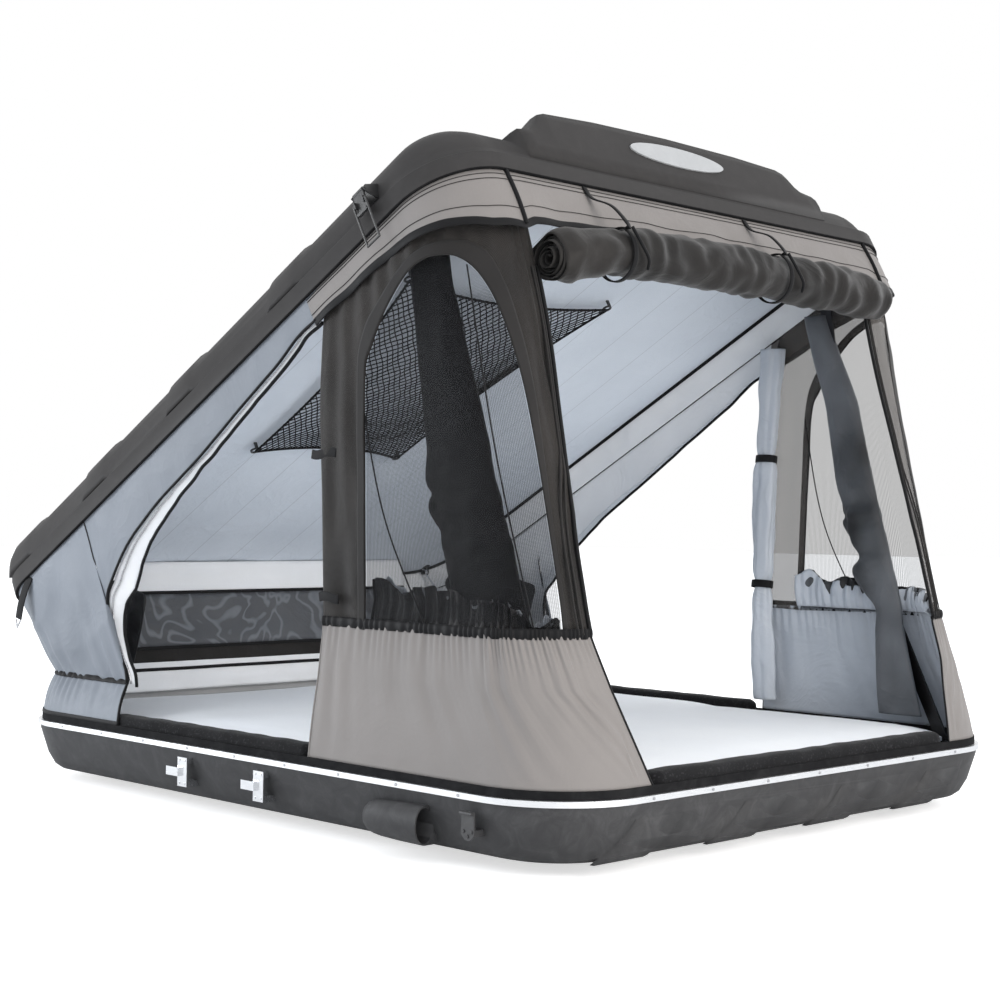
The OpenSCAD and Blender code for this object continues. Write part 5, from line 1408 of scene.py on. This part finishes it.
def makeStorageNet():
    count = storageNet["strands"]
    lines = []
    for k in range(-count + 1, count):
        c = k / count
        lo, hi = max(0.0, c), min(1.0, 1.0 + c)
        u = np.linspace(lo, hi, max(int(40 * (hi - lo)), 3))
        for v in (u - c, 1 - (u - c)):
            zig = 0.0045 * np.sin(u * count * 2 * math.pi)
            lines.append(netSpot(np.clip(u + zig, 0, 1), np.clip(v, 0, 1)))
    net = rideLid(tubePiece("storage_net_cords", lines, 1.5, "pipingBlack", 4))
    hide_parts("storage_net")
    t = np.linspace(0, 1, 60)
    around = [netSpot(t, 0 * t), netSpot(0 * t + 1, t), netSpot(1 - t, 0 * t + 1), netSpot(0 * t, 1 - t)]
    bound = []
    for line in around:
        fine = smoothLine(line, 240)
        wave = np.sin(np.linspace(0, 2 * math.pi * 30, 240))
        side = np.cross(np.gradient(fine, axis=0), np.array(lidUp))
        side /= np.linalg.norm(side, axis=1, keepdims=True)
        bound.append(fine + side * (wave * 4)[:, None])
    rideLid(tubePiece("storage_net_edge", around, 3.0, "pipingBlack", 6))
    rideLid(tubePiece("storage_net_binding", bound, 1.5, "pipingBlack", 4))


makeStorageNet()
print("storage net made")


# closing strap at the low corner
def makeClosingStrap():
    top, low = lidSpot(190, -791, -2), lidSpot(112, -805, -82)
    line = smoothLine([top, top * 0.66 + low * 0.34 + np.array([-2, -3, 0]),
        top * 0.33 + low * 0.67 + np.array([0, -4, 0]), low], 40)
    strap = onLid(strapPiece("closing_strap_cloth", [line], 26, 2.6,
        "webbingBlack", [np.array([0.1, -1, 0.05])]))
    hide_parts("closing_strap")


makeClosingStrap()

# padded sills: heights, distances in from the shell's side, and where the pads end
sills = {"height": (132, 170), "inset": (16, 70), "doorFrom": -540, "doorTo": 243, "endHalf": 522}


def padRun(name, start, end, outward, nodeName):
    # a long soft pad with a rounded section and a soft wobble
    start, end, outward = (np.array(k, float) for k in (start, end, outward))
    along = end - start
    length = np.linalg.norm(along)
    along /= length
    u = np.linspace(0, 1, 120)
    angle = np.linspace(0, 2 * math.pi, 33)
    wide, high = (sills["inset"][1] - sills["inset"][0]) / 2, (sills["height"][1] - sills["height"][0]) / 2
    cosine, sine = np.cos(angle), np.sin(angle)
    ring = np.sign(cosine) * np.abs(cosine) ** 0.6, np.sign(sine) * np.abs(sine) ** 0.7
    cap = np.clip(np.minimum(u, 1 - u) * length / 26, 0.0, 1) ** 0.4
    cap[[0, -1]] = 0.12
    centre = start[None] + along * (u * length)[:, None]
    cap = cap[:, None, None]
    across = outward * (ring[0] * wide)[None, :, None] * cap
    grid = centre[:, None] + across + np.array([0, 0, 1.0]) * (ring[1] * high)[None, :, None] * cap
    soft = wander(grid, 60, 41) * 2.5
    soft[:, -1] = soft[:, 0]
    away = grid - centre[:, None]
    away /= np.maximum(np.linalg.norm(away, axis=2, keepdims=True), 1e-6)
    grid = grid + away * soft[..., None]
    rows, cols = grid.shape[:2]
    points = grid[:, :-1].reshape(-1, 3)
    n = cols - 1
    faces = []
    for a in range(0, (rows - 1) * n, n):
        faces += [(a + c, a + (c + 1) % n, a + n + (c + 1) % n, a + n + c) for c in range(n)]
    faces += [tuple(range(n))[::-1], tuple(range((rows - 1) * n, rows * n))]
    uv = np.stack(np.meshgrid(np.linspace(0, 0.16, n), u * length * mm), -1)
    pad = meshPiece(name, points, faces, "padBlack", uv)
    if pad.data.polygons[0].normal.dot(pad.data.polygons[0].center - Vector(centre[0] * mm)) < 0:
        pad.data.flip_normals()
    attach(pad, "base")
    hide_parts(nodeName)


sillInset, sillHeight = sum(sills["inset"]) / 2, sum(sills["height"]) / 2
for side in (-1, 1):
    y = side * (halfWidth - sillInset)
    ends = (sills["doorFrom"], y, sillHeight), (sills["doorTo"], y, sillHeight)
    padRun("door_sill_pad_" + sideName(side), *ends, (0, side, 0), "side_sill_" + sideName(side))
x = halfLength - sillInset
padRun("end_sill_pad", (x, -sills["endHalf"], sillHeight), (x, sills["endHalf"], sillHeight), (1, 0, 0),
    "end_sill")
print("sills made")


# mattress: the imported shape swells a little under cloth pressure
mattress = {"voxel": 0.014, "pressure": 3.0, "cap": 0.009}


def makeMattress():
    piece = mergedCopy("mattress", "mattress_cover", 0.1)
    remesh = piece.modifiers.new("evenMesh", "REMESH")
    remesh.mode = "VOXEL"
    remesh.voxel_size = mattress["voxel"]
    applyAll(piece)
    mesh = piece.data
    mesh.materials.clear()
    mesh.materials.append(finishes["mattressWhite"])
    count = len(mesh.vertices)
    start = np.zeros(count * 3)
    mesh.vertices.foreach_get("co", start)
    start = start.reshape(-1, 3)
    final = start.copy()
    cloth = piece.modifiers.new("cover", "CLOTH")
    cloth.settings.use_pressure = True
    cloth.settings.uniform_pressure_force = mattress["pressure"]
    cloth.settings.effector_weights.gravity = 0
    cloth.point_cache.frame_start, cloth.point_cache.frame_end = 1, 20
    for step in range(1, 21):
        scene.frame_set(step)
    moved = piece.evaluated_get(bpy.context.evaluated_depsgraph_get()).data
    after = np.zeros(count * 3)
    moved.vertices.foreach_get("co", after)
    shift = after.reshape(-1, 3) - start
    length = np.linalg.norm(shift, axis=1, keepdims=True)
    shift *= np.minimum(1, mattress["cap"] / np.maximum(length, 1e-9))
    shift[:, 2] *= np.where(start[:, 2] < 0.1, 0.0, 1.0)
    shift[:, :2] *= 0.4
    final = start + shift
    piece.modifiers.remove(cloth)
    scene.frame_set(1)
    top = np.clip((final[:, 2] - 0.12) / 0.03, 0, 1)
    grid = final * 1000
    dents = wander(grid, 210, 51) * 2.6 + wander(grid, 90, 52) * 0.9
    final[:, 2] += dents * mm * top
    mesh.vertices.foreach_set("co", final.ravel())
    layer = mesh.uv_layers.new(name="clothMap")
    index = np.zeros(len(mesh.loops), int)
    mesh.loops.foreach_get("vertex_index", index)
    layer.data.foreach_set("uv", (final[:, :2] + final[:, 2:3] * 0.5)[index].ravel())
    smoothAll(piece)
    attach(piece, "base")
    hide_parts("mattress")


makeMattress()
print("mattress made")

print("all pieces made")
